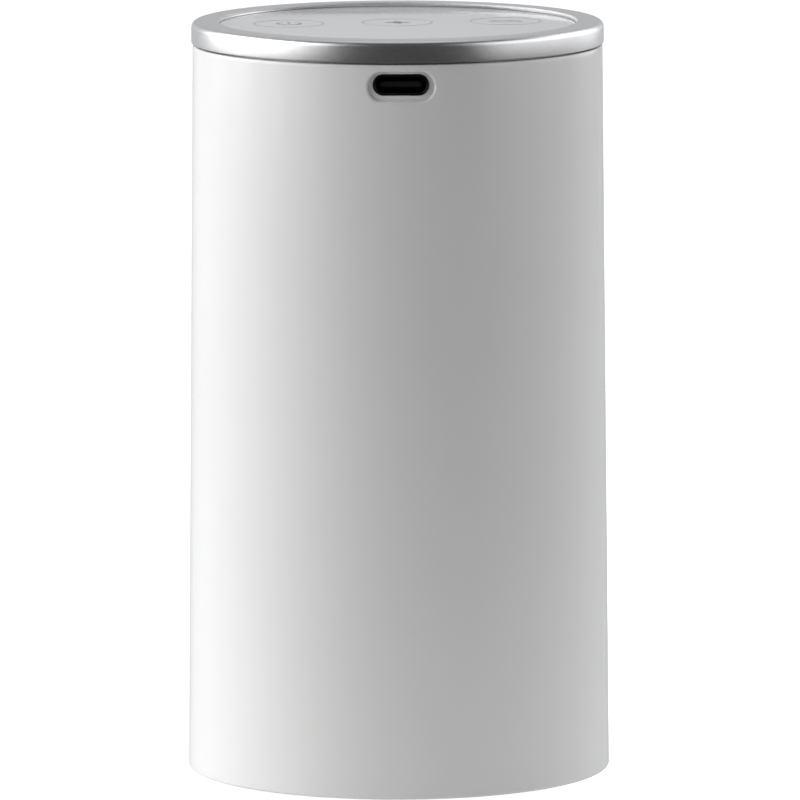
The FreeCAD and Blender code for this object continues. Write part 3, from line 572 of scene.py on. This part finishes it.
# ---- outer shell --------------------------------------------------------------------------------
# The housing's tube, injection moulded in gloss white ABS with about half a degree of draft. The
# two grille openings face the front, and the socket's opening sits in a shallow dish at the back.
SHELL_WALL = 2.2 * MM
SHELL_SIDES = 288
low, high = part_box("outer_shell")
SHELL_LOW, SHELL_HIGH, SHELL_LOW_R = low.z, high.z, high.x
SHELL_HIGH_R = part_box("top_ring")[1].x - 0.2 * MM
LIP_LOW, LIP_HIGH = 0.6 * MM, 0.25 * MM
PORT_AT = (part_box("usb_shell")[0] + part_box("usb_shell")[1]) / 2
PORT_HALF_W, PORT_HALF_H = 4.66 * MM, 1.74 * MM
DISH_HALF_W, DISH_HALF_H, DISH_DEPTH, DISH_DROP = 5.75 * MM, 2.5 * MM, 0.80 * MM, 0.3 * MM
GRILLE_GAP = 0.15 * MM
GRILLE_CORNER = 5.0 * MM
EDGE, PORT_EDGE = 0.25 * MM, 0.2 * MM
STRAIGHT_BIT = 0.001 * MM


def shell_radius(z):
    share = (z - SHELL_LOW) / (SHELL_HIGH - SHELL_LOW)
    return SHELL_LOW_R + (SHELL_HIGH_R - SHELL_LOW_R) * share


ROLL_R = shell_radius((SHELL_LOW + SHELL_HIGH) / 2)
BACK_AT, FRONT_AT = -math.pi / 2 * ROLL_R, math.pi / 2 * ROLL_R


class Window:
    """A rounded rectangle on the flat wall: its middle, half sizes and corner radius. A corner as
    large as a half size makes a round end."""

    def __init__(self, across, up, half_w, half_h, corner):
        corner = min(corner, half_w - STRAIGHT_BIT, half_h - STRAIGHT_BIT)
        self.middle = Vector((across, 0, up))
        self.core = Vector((half_w - corner, 0, half_h - corner))
        self.corner = corner

    def way_out(self, point):
        """The nearest core point, and the direction from it, for a point on the outline."""
        offset = point - self.middle
        inner = Vector((max(-self.core.x, min(self.core.x, offset.x)), 0,
                        max(-self.core.z, min(self.core.z, offset.z))))
        away = Vector((offset.x, 0, offset.z)) - inner
        return self.middle + inner, away.normalized()

    def outline(self, grow=0.0, steps=6):
        """Points round the outline, made larger by grow."""
        points = []
        for quarter in range(4):
            sx, sz = ((1, 1), (-1, 1), (-1, -1), (1, -1))[quarter]
            for i in range(steps + 1):
                angle = (quarter + i / steps) * math.pi / 2
                reach = self.corner + grow
                points.append(self.middle + Vector((sx * self.core.x + reach * math.cos(angle), 0,
                                                    sz * self.core.z + reach * math.sin(angle))))
        return points


def sink(bm, edges, stages, window):
    """Extrudes an outline inwards through (grow, depth) stages, and returns the last loop."""
    for grow, depth in stages:
        edges, fresh = drawn_on(bm, edges)
        for vert in fresh:
            inner, away = window.way_out(vert.co)
            vert.co = inner + away * (window.corner + grow)
            vert.co.y = depth
    return edges


def rounding(radius, depth=0.0, steps=4):
    """(grow, depth) stages of a rounded edge that ends at the outline itself."""
    return [(radius * (1 - math.sin(a)), depth + radius * (1 - math.cos(a)))
            for a in (math.pi / 2 * i / steps for i in range(1, steps + 1))]


def rolled(bm, sides):
    """Cuts a flat wall into strips and rolls it round the drafted tube. y is depth below it."""
    step = 2 * math.pi * ROLL_R / sides
    xs = [v.co.x for v in bm.verts]
    first, last = math.ceil(min(xs) / step), math.floor(max(xs) / step)
    for i in range(first, last + 1):
        geometry = bm.verts[:] + bm.edges[:] + bm.faces[:]
        bmesh.ops.bisect_plane(bm, geom=geometry, dist=WELD, plane_co=(i * step, 0, 0),
                               plane_no=(1, 0, 0))
    for vert in bm.verts:
        across, depth, up = vert.co
        angle, radius = across / ROLL_R, shell_radius(up) - depth
        vert.co = (radius * math.cos(angle), radius * math.sin(angle), up)
    bmesh.ops.remove_doubles(bm, verts=bm.verts, dist=WELD)
    bmesh.ops.recalc_face_normals(bm, faces=bm.faces)


def grille_window(node):
    """The opening that a grille fills, from the grille's own box."""
    grille_low, grille_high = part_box(node)
    half_w = math.asin((grille_high.x + GRILLE_GAP) / SHELL_LOW_R) * ROLL_R
    return Window(FRONT_AT, (grille_low.z + grille_high.z) / 2, half_w,
                  (grille_high.z - grille_low.z) / 2 + GRILLE_GAP, GRILLE_CORNER)


def lip(radius, wall, steps=5):
    """(in from the end, depth) stages of the tube's rounded end, from outside to inside."""
    outer = [(radius * (1 - math.sin(a)), radius * (1 - math.cos(a)))
             for a in (math.pi / 2 * i / steps for i in range(1, steps + 1))]
    inner = 0.2 * MM
    return outer + [(0.0, wall - inner), (inner, wall)]


def shell_wall():
    bm = bmesh.new()
    half = math.pi * ROLL_R
    windows = [grille_window("intake_grille"), grille_window("outlet_grille")]
    dish = Window(BACK_AT, PORT_AT.z - DISH_DROP, DISH_HALF_W, DISH_HALF_H, DISH_HALF_H)
    port = Window(BACK_AT, PORT_AT.z, PORT_HALF_W, PORT_HALF_H, PORT_HALF_H)
    corners = [Vector((x, 0, z)) for x, z in (
        (-half, SHELL_LOW + LIP_LOW), (half, SHELL_LOW + LIP_LOW),
        (half, SHELL_HIGH - LIP_HIGH), (-half, SHELL_HIGH - LIP_HIGH))]
    bottom, _, top, _ = loop_edges(bm, corners)
    holes = [loop_edges(bm, w.outline(EDGE)) for w in windows]
    holes.append(loop_edges(bm, dish.outline(EDGE)))
    bmesh.ops.triangle_fill(bm, use_beauty=True, edges=bm.edges[:], normal=(0, -1, 0))
    inner = []
    for window, hole in zip(windows, holes):
        inner += sink(bm, hole, rounding(EDGE) + [(0.0, SHELL_WALL)], window)
    floor = sink(bm, holes[2], rounding(EDGE) + [(-0.1 * MM, DISH_DEPTH)], dish)
    mouth = loop_edges(bm, [p + Vector((0, DISH_DEPTH, 0)) for p in port.outline(PORT_EDGE)])
    bmesh.ops.triangle_fill(bm, use_beauty=True, edges=floor + mouth, normal=(0, -1, 0))
    inner += sink(bm, mouth, rounding(PORT_EDGE, DISH_DEPTH) + [(0.0, SHELL_WALL)], port)
    for edge, end, way, radius in ((bottom, SHELL_LOW, 1, LIP_LOW), (top, SHELL_HIGH, -1, LIP_HIGH)):
        edges = [edge]
        for rise, depth in lip(radius, SHELL_WALL):
            edges, fresh = drawn_on(bm, edges)
            for vert in fresh:
                vert.co.y, vert.co.z = depth, end + way * rise
        inner += edges
    for side in (-half, half):
        inner.append(bm.edges.new([v for v in bm.verts if abs(v.co.y - SHELL_WALL) < WELD
                                   and abs(v.co.x - side) < WELD]))
    bmesh.ops.triangle_fill(bm, use_beauty=True, edges=inner, normal=(0, 1, 0))
    rolled(bm, SHELL_SIDES)
    return as_piece("shell_wall", bm)


def gloss_white():
    """Polished ABS: a faint orange peel under the gloss, and a trace of cloud in the colour."""
    finish = Finish("gloss_white")
    peel = finish.noise(4.0 * MM, 1.0)
    grain = finish.noise(0.4 * MM, 2.0)
    cloud = finish.noise(30.0 * MM, 2.0)
    return finish.surface(
        Base_Color=finish.shades(cloud, (0.790, 0.790, 0.785), (0.815, 0.815, 0.815)),
        Roughness=0.10 + 0.05 * cloud + 0.03 * grain, IOR=1.53,
        Subsurface_Weight=0.15, Subsurface_Radius=(1.0, 0.9, 0.8), Subsurface_Scale=0.8 * MM,
        Normal=finish.bump(peel, 0.004 * MM))


white_gloss = gloss_white()
dress(shell_wall(), "outer_shell", "housing", white_gloss)

# ---- screw columns inside the shell -------------------------------------------------------------
# Three bosses moulded onto the shell's inside, joined to its wall by webs. The deck is screwed to
# their lower ends and the tray to their upper ends.
COLUMN_TURNS = (30, 150, 270)
COLUMN_OUT, COLUMN_R = 29.0 * MM, 3.2 * MM
COLUMN_LOW, COLUMN_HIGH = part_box("fan_deck")[1].z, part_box("top_tray")[0].z


def screw_columns():
    bm = bmesh.new()
    tall = COLUMN_HIGH - COLUMN_LOW
    middle = (COLUMN_LOW + COLUMN_HIGH) / 2
    web_end = shell_radius(COLUMN_LOW) - SHELL_WALL + 0.5 * MM
    for degrees in COLUMN_TURNS:
        spin = Matrix.Rotation(math.radians(degrees), 4, "Z")
        place = spin @ Matrix.Translation((COLUMN_OUT, 0, middle))
        bmesh.ops.create_cone(bm, cap_ends=True, segments=32, radius1=COLUMN_R, radius2=COLUMN_R,
                              depth=tall, matrix=place)
        web = Matrix.Translation(((COLUMN_OUT + web_end) / 2, 0, middle))
        size = Matrix.Diagonal((web_end - COLUMN_OUT, COLUMN_R * 1.2, tall, 1))
        bmesh.ops.create_cube(bm, size=1.0, matrix=spin @ web @ size)
    return as_piece("shell_columns", bm)


dress(screw_columns(), None, "housing", white_gloss)

# ---- grilles ------------------------------------------------------------------------------------
# Two inserts that fill the front openings flush with the tube, in the same gloss white. Upright
# slots with rounded ends and softened edges let the air through; hooks hold them from inside.
SLOT_HALF_W, SLOT_TURN, SLOTS_EACH_SIDE = 0.9 * MM, math.radians(4.2), 8
SLOT_EDGE, SLOT_BAR = 0.35 * MM, 2.0 * MM
HOOK_X, HOOK_HALF_W, HOOK_THICK = 10.0 * MM, 1.5 * MM, 1.2 * MM


def grille(name, node, rows, margin):
    """An insert with rows of slots. margin is the solid band at its top and bottom."""
    bm = bmesh.new()
    outline = grille_window(node)
    rim = Window(FRONT_AT, outline.middle.z, outline.core.x + GRILLE_CORNER - GRILLE_GAP,
                 outline.core.z + GRILLE_CORNER - GRILLE_GAP, GRILLE_CORNER - GRILLE_GAP)
    low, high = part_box(node)[0].z + margin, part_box(node)[1].z - margin
    half_tall = ((high - low) - SLOT_BAR * (rows - 1)) / rows / 2
    slots = []
    for row in range(rows):
        up = low + half_tall + row * (2 * half_tall + SLOT_BAR)
        for i in range(-SLOTS_EACH_SIDE, SLOTS_EACH_SIDE + 1):
            slots.append(Window(FRONT_AT + i * SLOT_TURN * ROLL_R, up, SLOT_HALF_W, half_tall,
                                SLOT_HALF_W))
    outer = loop_edges(bm, rim.outline(-EDGE))
    holes = [loop_edges(bm, s.outline(SLOT_EDGE, 4)) for s in slots]
    bmesh.ops.triangle_fill(bm, use_beauty=True, edges=bm.edges[:], normal=(0, -1, 0))
    edge_stages = [(-grow, depth) for grow, depth in rounding(EDGE)]
    inner = sink(bm, outer, edge_stages + [(0.0, SHELL_WALL)], rim)
    for slot, hole in zip(slots, holes):
        inner += sink(bm, hole, rounding(SLOT_EDGE, steps=3) + [(0.0, SHELL_WALL)], slot)
    bmesh.ops.triangle_fill(bm, use_beauty=True, edges=inner, normal=(0, 1, 0))
    rolled(bm, SHELL_SIDES)
    for x in (-HOOK_X, HOOK_X):
        for edge, way in ((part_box(node)[0].z, 1), (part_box(node)[1].z, -1)):
            inside = shell_radius(edge) - SHELL_WALL
            back = math.sqrt(inside ** 2 - (abs(x) + HOOK_HALF_W) ** 2) - 0.3 * MM
            root = math.sqrt(inside ** 2 - (abs(x) - HOOK_HALF_W) ** 2) + 0.3 * MM
            arm = (back - HOOK_THICK, root, edge + way * 0.3 * MM, edge + way * 1.9 * MM)
            tip = (back - HOOK_THICK, back, edge + way * 1.9 * MM, edge - way * 1.2 * MM)
            for y0, y1, z0, z1 in (arm, tip):
                size = Matrix.Diagonal((2 * HOOK_HALF_W, y1 - y0, abs(z1 - z0), 1))
                place = Matrix.Translation((x, (y0 + y1) / 2, (z0 + z1) / 2))
                bmesh.ops.create_cube(bm, size=1.0, matrix=place @ size)
    dress(as_piece(name, bm), node, "housing", white_gloss)


grille("lower_grille", "intake_grille", 2, 3.5 * MM)
grille("upper_grille", "outlet_grille", 1, 3.0 * MM)

# ---- lower collar and its magnets ---------------------------------------------------------------
# A white ring bonded inside the tube's lower end. It rests on the base's rim, and holds three
# magnets that meet the base's.
inner_plastic = moulded("inner_white", (0.70, 0.70, 0.69), (0.77, 0.77, 0.76), 0.40, 0.4 * MM,
                        0.010 * MM)
eased("collar_ring", "lower_collar", MOULD_EDGE, "housing", inner_plastic)
keep("housing_magnets", nickel)

# ---- fan deck -----------------------------------------------------------------------------------
# A grey moulding across the tube with the fan's bell-mouth inlet in it. Three screws from below
# hold it to the tube's columns, and a silicone band seals its edge.
grey_plastic = moulded("inner_grey", (0.30, 0.31, 0.32), (0.37, 0.38, 0.39), 0.42, 0.4 * MM,
                       0.012 * MM)
eased("deck_plate", "fan_deck", MOULD_EDGE, "housing", grey_plastic)
keep("deck_seal", silicone)
zinc = metal("screw_steel", (0.52, 0.53, 0.55), (0.68, 0.69, 0.71), 0.24, 0.12 * MM, 3.0)
for node in ("deck_screws", "fan_screws", "tray_screws", "board_screws"):
    keep(node, zinc)

# ---- fan ----------------------------------------------------------------------------------------
# A 40 mm axial fan in glass-filled black nylon. The rotor carries its ferrite ring and turns on a
# ground shaft in two bearings; the frame's brass tube holds the bearings and the wound stator.
black_nylon = moulded("fan_black", (0.020, 0.020, 0.021), (0.042, 0.042, 0.044), 0.34, 0.3 * MM,
                      0.010 * MM)
eased("fan_housing", "fan_frame", 0.15 * MM, "housing", black_nylon)
eased("fan_impeller", "fan_rotor", 0.10 * MM, "rotor", black_nylon)
eased("pole_stack", "stator_core", 0.05 * MM, "housing",
      metal("core_steel", (0.22, 0.22, 0.24), (0.42, 0.42, 0.44), 0.38, 0.10 * MM, 12.0,
            0.010 * MM))


def ferrite():
    """Bonded ferrite: dark, dull, with a faint sintered speckle."""
    finish = Finish("ferrite")
    speck = finish.noise(0.15 * MM, 3.0, 0.7)
    return finish.surface(Base_Color=finish.shades(speck, (0.020, 0.019, 0.018),
                                                   (0.075, 0.070, 0.066)),
                          Roughness=0.55 + 0.2 * speck, Normal=finish.bump(speck, 0.01 * MM))


def windings():
    """Enamelled copper wire, laid turn beside turn, with painted shade in the grooves between turns
    and their crests painted lighter.
    """
    finish = Finish("copper_wire")
    turns = finish.waves("Z", 0.395 * MM, 0.4)
    tone = finish.noise(0.5 * MM, 2.0)
    # The colour follows the turns: painted shade in the grooves between them, lighter on their
    # crests.
    return finish.surface(Base_Color=finish.shades(0.6 * turns + 0.4 * tone, (0.30, 0.10, 0.035),
                                                   (0.72, 0.33, 0.14)),
                          Metallic=1.0, Roughness=0.28, Normal=finish.bump(turns, 0.05 * MM))


def solder_mask():
    """Green lacquer over copper tracks, which show as slightly raised lighter lines."""
    finish = Finish("circuit_board")
    zones = finish.noise(5.0 * MM, 1.0)
    tracks = [finish.waves(way, 2.567 * MM) > 0.78 for way in ("X", "Y")]
    along = tracks[0] * (zones > 0.5) + tracks[1] * (zones < 0.46)
    mottle = finish.noise(0.4 * MM, 2.0)
    tone = 0.7 * along + 0.3 * mottle
    return finish.surface(Base_Color=finish.shades(tone, (0.006, 0.055, 0.022),
                                                   (0.020, 0.150, 0.060)),
                          Roughness=0.24 + 0.10 * mottle, IOR=1.5,
                          Normal=finish.bump(along, 0.03 * MM))


keep("rotor_magnet", ferrite())
ground_steel = metal("polished_steel", (0.55, 0.56, 0.57), (0.70, 0.70, 0.71), 0.10, 0.08 * MM, 0.2)
keep("fan_shaft", ground_steel)
keep("fan_bearings", ground_steel)
brass = metal("contact_gold", (0.80, 0.57, 0.22), (0.95, 0.72, 0.34), 0.20, 0.15 * MM)
keep("bearing_tube", brass)
keep("stator_coils", windings())
board_green = solder_mask()
keep("fan_circuit", board_green)
jacket = rubber("wire_jacket", (0.025, 0.025, 0.027), (0.05, 0.05, 0.053), 0.38)
keep("fan_lead", jacket)

# ---- top tray with the ioniser ------------------------------------------------------------------
# A white tray screwed to the columns' upper ends. It carries the board on four posts, the potted
# high-voltage module, and underneath in the air stream a holder for the carbon-fibre brush.
eased("top_carrier", "top_tray", MOULD_EDGE, "housing", inner_plastic)
eased("brush_holder", "ioniser_holder", MOULD_EDGE, "housing", inner_plastic)
potting = moulded("potting_black", (0.014, 0.014, 0.015), (0.034, 0.034, 0.036), 0.22, 0.9 * MM,
                  0.006 * MM)
eased("voltage_module", "ioniser_module", 0.25 * MM, "housing", potting)
keep("ioniser_pins", brass)
keep("ioniser_lead", jacket)


def carbon_bundle():
    """Thousands of parallel carbon fibres that run along Y."""
    finish = Finish("carbon_fibre")
    at = finish.node("ShaderNodeMapping", Vector=finish.place(), Scale=(1.0, 0.05, 1.0))
    fibres = finish.noise(0.05 * MM, 2.0, 0.6, at)
    return finish.surface(Base_Color=finish.shades(fibres, (0.010, 0.010, 0.011),
                                                   (0.070, 0.070, 0.075)),
                          Roughness=0.36 + 0.2 * fibres, Normal=finish.bump(fibres, 0.04 * MM))


keep("ioniser_brush", carbon_bundle())

# ---- control board ------------------------------------------------------------------------------
# A round board over the tray, with its control chip, a coil, capacitors and the fan's socket, and
# a foam contact post under each touch key with a pair of LEDs inside a white light shield.
eased("control_board", "main_board", 0.05 * MM, "housing", board_green)
eased("board_chip", "control_chip", 0.12 * MM, "housing", potting)
component = moulded("part_body", (0.10, 0.10, 0.105), (0.30, 0.30, 0.31), 0.30, 1.2 * MM, 0.01 * MM)
eased("small_parts", "board_parts", 0.15 * MM, "housing", component)
eased("fan_connector", "fan_socket", 0.15 * MM, "housing",
      moulded("connector_white", (0.68, 0.67, 0.63), (0.76, 0.75, 0.71), 0.30, 0.5 * MM, 0.006 * MM))
keep("touch_pads", cells("pad_foam", (0.10, 0.10, 0.105), (0.30, 0.30, 0.31), 0.35 * MM, 0.06 * MM))
eased("shield_wells", "light_shield", 0.1 * MM, "housing", inner_plastic)


def led_resin():
    """Clear resin over a yellow phosphor patch, in a white case."""
    finish = Finish("led_resin")
    patch = finish.noise(0.5 * MM, 1.0)
    return finish.surface(Base_Color=finish.shades(patch, (0.80, 0.80, 0.76), (0.86, 0.74, 0.30)),
                          Roughness=0.22 + 0.1 * patch, Coat_Weight=0.5)


keep("key_leds", led_resin())

# ---- USB-C socket -------------------------------------------------------------------------------
# A black-plated drawn shell soldered to the board's edge, with a moulded tongue that carries two
# rows of gold-plated contacts.
FLARE, CASE_WALL = 0.16 * MM, 0.30 * MM


def socket_case():
    """The shell, from the back of its outside round the flared mouth to the back of its inside."""
    bm = bmesh.new()
    low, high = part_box("usb_shell")
    half_w, half_h = (high.x - low.x) / 2, (high.z - low.z) / 2
    case = Window(0, (low.z + high.z) / 2, half_w, half_h, half_h)
    front, back = low.y, high.y
    start = loop_edges(bm, [Vector((p.x, back, p.z)) for p in case.outline(steps=10)])
    bmesh.ops.triangle_fill(bm, use_beauty=True, edges=start, normal=(0, 1, 0))
    end = sink(bm, start, [
        (0.0, front + 0.6 * MM), (FLARE, front + 0.35 * MM), (FLARE, front + 0.06 * MM),
        (FLARE - 0.06 * MM, front), (-0.10 * MM, front), (-0.24 * MM, front + 0.08 * MM),
        (-CASE_WALL, front + 0.25 * MM), (-CASE_WALL, back - CASE_WALL)], case)
    bmesh.ops.triangle_fill(bm, use_beauty=True, edges=end, normal=(0, -1, 0))
    bmesh.ops.remove_doubles(bm, verts=bm.verts, dist=WELD)
    bmesh.ops.recalc_face_normals(bm, faces=bm.faces)
    return as_piece("socket_case", bm)


dress(socket_case(), "usb_shell", "housing",
      metal("socket_black", (0.030, 0.030, 0.032), (0.055, 0.055, 0.058), 0.30, 0.15 * MM))
eased("socket_tongue", "usb_tongue", 0.08 * MM, "housing",
      moulded("tongue_black", (0.004, 0.004, 0.004), (0.009, 0.009, 0.010), 0.35, 0.3 * MM,
              0.005 * MM))
keep("usb_contacts", brass)

# ---- adhesive ring ------------------------------------------------------------------------------
# A die-cut ring of black double-sided tape. It bonds the panel to the ledge inside the top ring, and
# is hidden once the panel is down.
keep("panel_tape", rubber("tape_black", (0.016, 0.016, 0.017), (0.035, 0.035, 0.037), 0.55))

# ---- top ring -----------------------------------------------------------------------------------
# Turned aluminium trim, blasted to a fine satin and anodised clear, rounded at its outer top edge. It
# stands 0.3 mm clear of the tube, on three legs that reach down inside it. A ledge in its bore
# carries the panel, and a small lip hides the panel's edge.
RING_SIDES = 256
low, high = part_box("top_ring")
RING_R, RING_TOP, RING_LEG_LOW = high.x, high.z, low.z
PANEL_LOW, PANEL_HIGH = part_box("touch_panel")[0].z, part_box("touch_panel")[1].z
PANEL_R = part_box("touch_panel")[1].x
LEDGE_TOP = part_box("panel_tape")[0].z
RING_LOW = SHELL_HIGH + 0.3 * MM
RING_BORE, LIP_TALL, LIP_REACH = PANEL_R + 0.08 * MM, 0.26 * MM, 0.22 * MM
LEDGE_IN, LEDGE_THICK = 27.6 * MM, 1.4 * MM
SKIRT_IN, SKIRT_OUT, SKIRT_LOW = 30.3 * MM, 31.8 * MM, 121.3 * MM
LEG_TURNS, LEG_WIDTH = (90, 210, 330), 7.8 * MM


def trim_ring():
    bm = bmesh.new()
    bore, ledge_low = RING_BORE, LEDGE_TOP - LEDGE_THICK
    spin_profile(bm, rounded([
        (RING_R, RING_LOW, 0.15 * MM), (RING_R, RING_TOP, 1.0 * MM),
        (bore, RING_TOP, 0.05 * MM), (bore, PANEL_HIGH + LIP_TALL),
        (bore - LIP_REACH, PANEL_HIGH + 0.03 * MM), (bore, PANEL_HIGH - 0.15 * MM),
        (bore, LEDGE_TOP), (LEDGE_IN, LEDGE_TOP), (LEDGE_IN, ledge_low, 0.3 * MM),
        (SKIRT_IN, ledge_low), (SKIRT_IN, SKIRT_LOW), (SKIRT_OUT, SKIRT_LOW, 0.2 * MM),
        (SKIRT_OUT, RING_LOW)]), RING_SIDES)
    for degrees in LEG_TURNS:
        tall = SKIRT_LOW + 0.3 * MM - RING_LEG_LOW
        size = Matrix.Diagonal((SKIRT_OUT - SKIRT_IN - 0.1 * MM, LEG_WIDTH, tall, 1))
        place = Matrix.Translation(((SKIRT_IN + SKIRT_OUT) / 2, 0, RING_LEG_LOW + tall / 2))
        turned = Matrix.Rotation(math.radians(degrees), 4, "Z")
        bmesh.ops.create_cube(bm, size=1.0, matrix=turned @ place @ size)
    return as_piece("trim_ring", bm)


def satin_aluminium():
    """Bead-blasted and anodised: tiny dimples that sparkle, and an even, soft reflection. The
    bore above the panel is left coarser."""
    finish = Finish("satin_silver")
    flat = finish.node("ShaderNodeMapping", Vector=finish.place(), Scale=(1.0, 1.0, 0.0))
    out = finish.node("ShaderNodeVectorMath", {"operation": "LENGTH"}, output="Value", Vector=flat)
    bore = (out < RING_BORE + 0.05 * MM) * (out > RING_BORE - 0.01 * MM)
    dimples = finish.noise(0.16 * MM, 3.0, 0.6)
    mottle = finish.noise(0.6 * MM, 2.0)
    return finish.surface(
        Base_Color=finish.shades(mottle, (0.70, 0.70, 0.71), (0.80, 0.80, 0.81)),
        Metallic=1.0, Roughness=0.25 + 0.12 * mottle + 0.40 * bore,
        Normal=finish.bump(dimples, 0.02 * MM))


dress(trim_ring(), "top_ring", "housing", satin_aluminium())

# ---- touch panel --------------------------------------------------------------------------------
# A disc of clear acrylic, light grey behind, that sits 0.6 mm down in the ring with its top edge
# eased. Three touch keys are printed on it as thin grey circles, each with a small plain sign.
def panel_disc():
    bm = bmesh.new()
    spin_profile(bm, rounded([(0, PANEL_LOW), (PANEL_R, PANEL_LOW), (PANEL_R, PANEL_HIGH, 0.3 * MM),
                              (0, PANEL_HIGH)]), RING_SIDES, closed=False)
    return as_piece("panel_disc", bm)


def panel_grey():
    finish = Finish("panel_grey")
    cloud = finish.noise(12.0 * MM, 2.0)
    fine = finish.noise(0.8 * MM, 2.0)
    return finish.surface(
        Base_Color=finish.shades(cloud, (0.770, 0.782, 0.788), (0.800, 0.808, 0.814)),
        Roughness=0.08 + 0.05 * fine, IOR=1.49, Coat_Weight=0.3, Coat_Roughness=0.03)


dress(panel_disc(), "touch_panel", "housing", panel_grey())

# ---- printed keys -------------------------------------------------------------------------------
# Three keys screen-printed on the panel in thin grey ink, in a row turned a few degrees: a circle
# round each, with the plain signs for on, fan and breeze inside.
KEY_PITCH, KEY_ROW_TURN = 18.15 * MM, math.radians(4.5)
KEY_ROW_Y = 2.3 * MM
KEY_R, KEY_LINE, SIGN_LINE = 5.92 * MM, 0.18 * MM, 0.5 * MM
SIGN_R = 2.2 * MM
INK_LOW, INK_HIGH = PANEL_HIGH - 0.004 * MM, PANEL_HIGH + 0.016 * MM


def ink_arc(bm, centre, radius, width, start, end, steps=48):
    """An arc of ink, from one angle to another in degrees."""
    verts = []
    for reach, up in ((-1, INK_LOW), (1, INK_LOW), (1, INK_HIGH), (-1, INK_HIGH)):
        verts.append(bm.verts.new((centre.x + radius + reach * width / 2, centre.y, up)))
    face = bm.faces.new(verts)
    cent = (centre.x, centre.y, 0)
    turn = Matrix.Rotation(math.radians(start), 4, "Z")
    bmesh.ops.rotate(bm, verts=verts, cent=cent, matrix=turn)
    full = end - start >= 360
    geometry = face.edges[:] + verts if full else [face]
    if full:
        bm.faces.remove(face)
    bmesh.ops.spin(bm, geom=geometry, cent=cent, axis=(0, 0, 1), steps=steps, use_merge=full,
                   angle=math.radians(end - start), use_duplicate=False)


def ink_bar(bm, low, high):
    """A straight bar of ink between two corners."""
    size = Matrix.Diagonal((high.x - low.x, high.y - low.y, INK_HIGH - INK_LOW, 1))
    middle = Matrix.Translation(((low.x + high.x) / 2, (low.y + high.y) / 2,
                                 (INK_LOW + INK_HIGH) / 2))
    bmesh.ops.create_cube(bm, size=1.0, matrix=middle @ size)


def ink_blade(bm, centre, degrees):
    """One blade of the fan sign: a flat drop that leans round its hub."""
    turn = Matrix.Rotation(math.radians(degrees), 4, "Z")
    place = Matrix.Translation((centre.x, centre.y, (INK_LOW + INK_HIGH) / 2)) @ turn
    oval = Matrix.Translation((SIGN_R * 0.55, 0, 0)) @ Matrix.Rotation(0.5, 4, "Z")
    size = Matrix.Diagonal((SIGN_R * 0.46, SIGN_R * 0.27, 1, 1))
    bmesh.ops.create_cone(bm, cap_ends=True, segments=20, radius1=1, radius2=1,
                          depth=INK_HIGH - INK_LOW, matrix=place @ oval @ size)


def ink_piece(name, bm):
    bmesh.ops.remove_doubles(bm, verts=bm.verts, dist=WELD)
    bmesh.ops.recalc_face_normals(bm, faces=bm.faces)
    return dress(as_piece(name, bm), None, "housing", key_ink)


def grey_ink():
    """Screen ink: matt, with a fine screen mesh in its film."""
    finish = Finish("key_ink")
    mesh = finish.noise(0.08 * MM, 2.0)
    return finish.surface(Base_Color=finish.shades(mesh, (0.36, 0.355, 0.345), (0.44, 0.435, 0.425)),
                          Roughness=0.5 + 0.2 * mesh)


key_ink = grey_ink()
for place, key in enumerate(("on", "fan", "breeze"), -1):
    centre = Vector((place * KEY_PITCH * math.cos(KEY_ROW_TURN),
                     KEY_ROW_Y + place * KEY_PITCH * math.sin(KEY_ROW_TURN)))
    bm = bmesh.new()
    ink_arc(bm, centre, KEY_R - KEY_LINE / 2, KEY_LINE, 0, 360, 96)
    if key == "on":
        ink_arc(bm, centre, SIGN_R - SIGN_LINE / 2, SIGN_LINE, 125, 415)
        ink_bar(bm, centre + Vector((-SIGN_LINE / 2, 0.2 * SIGN_R)),
                centre + Vector((SIGN_LINE / 2, 1.15 * SIGN_R)))
    elif key == "fan":
        for degrees in (0, 90, 180, 270):
            ink_blade(bm, centre, degrees)
        ink_arc(bm, centre, 0.14 * SIGN_R, 0.26 * SIGN_R, 0, 360, 24)
    else:
        for across in (-0.62, 0.62):
            for up in (-0.9, 0.1):
                hump = centre + SIGN_R * Vector((across, up))
                ink_arc(bm, hump, 0.58 * SIGN_R, SIGN_LINE, 25, 155, 24)
    ink_piece("key_print_" + key, bm)

# ---- bounds -------------------------------------------------------------------------------------
low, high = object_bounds()
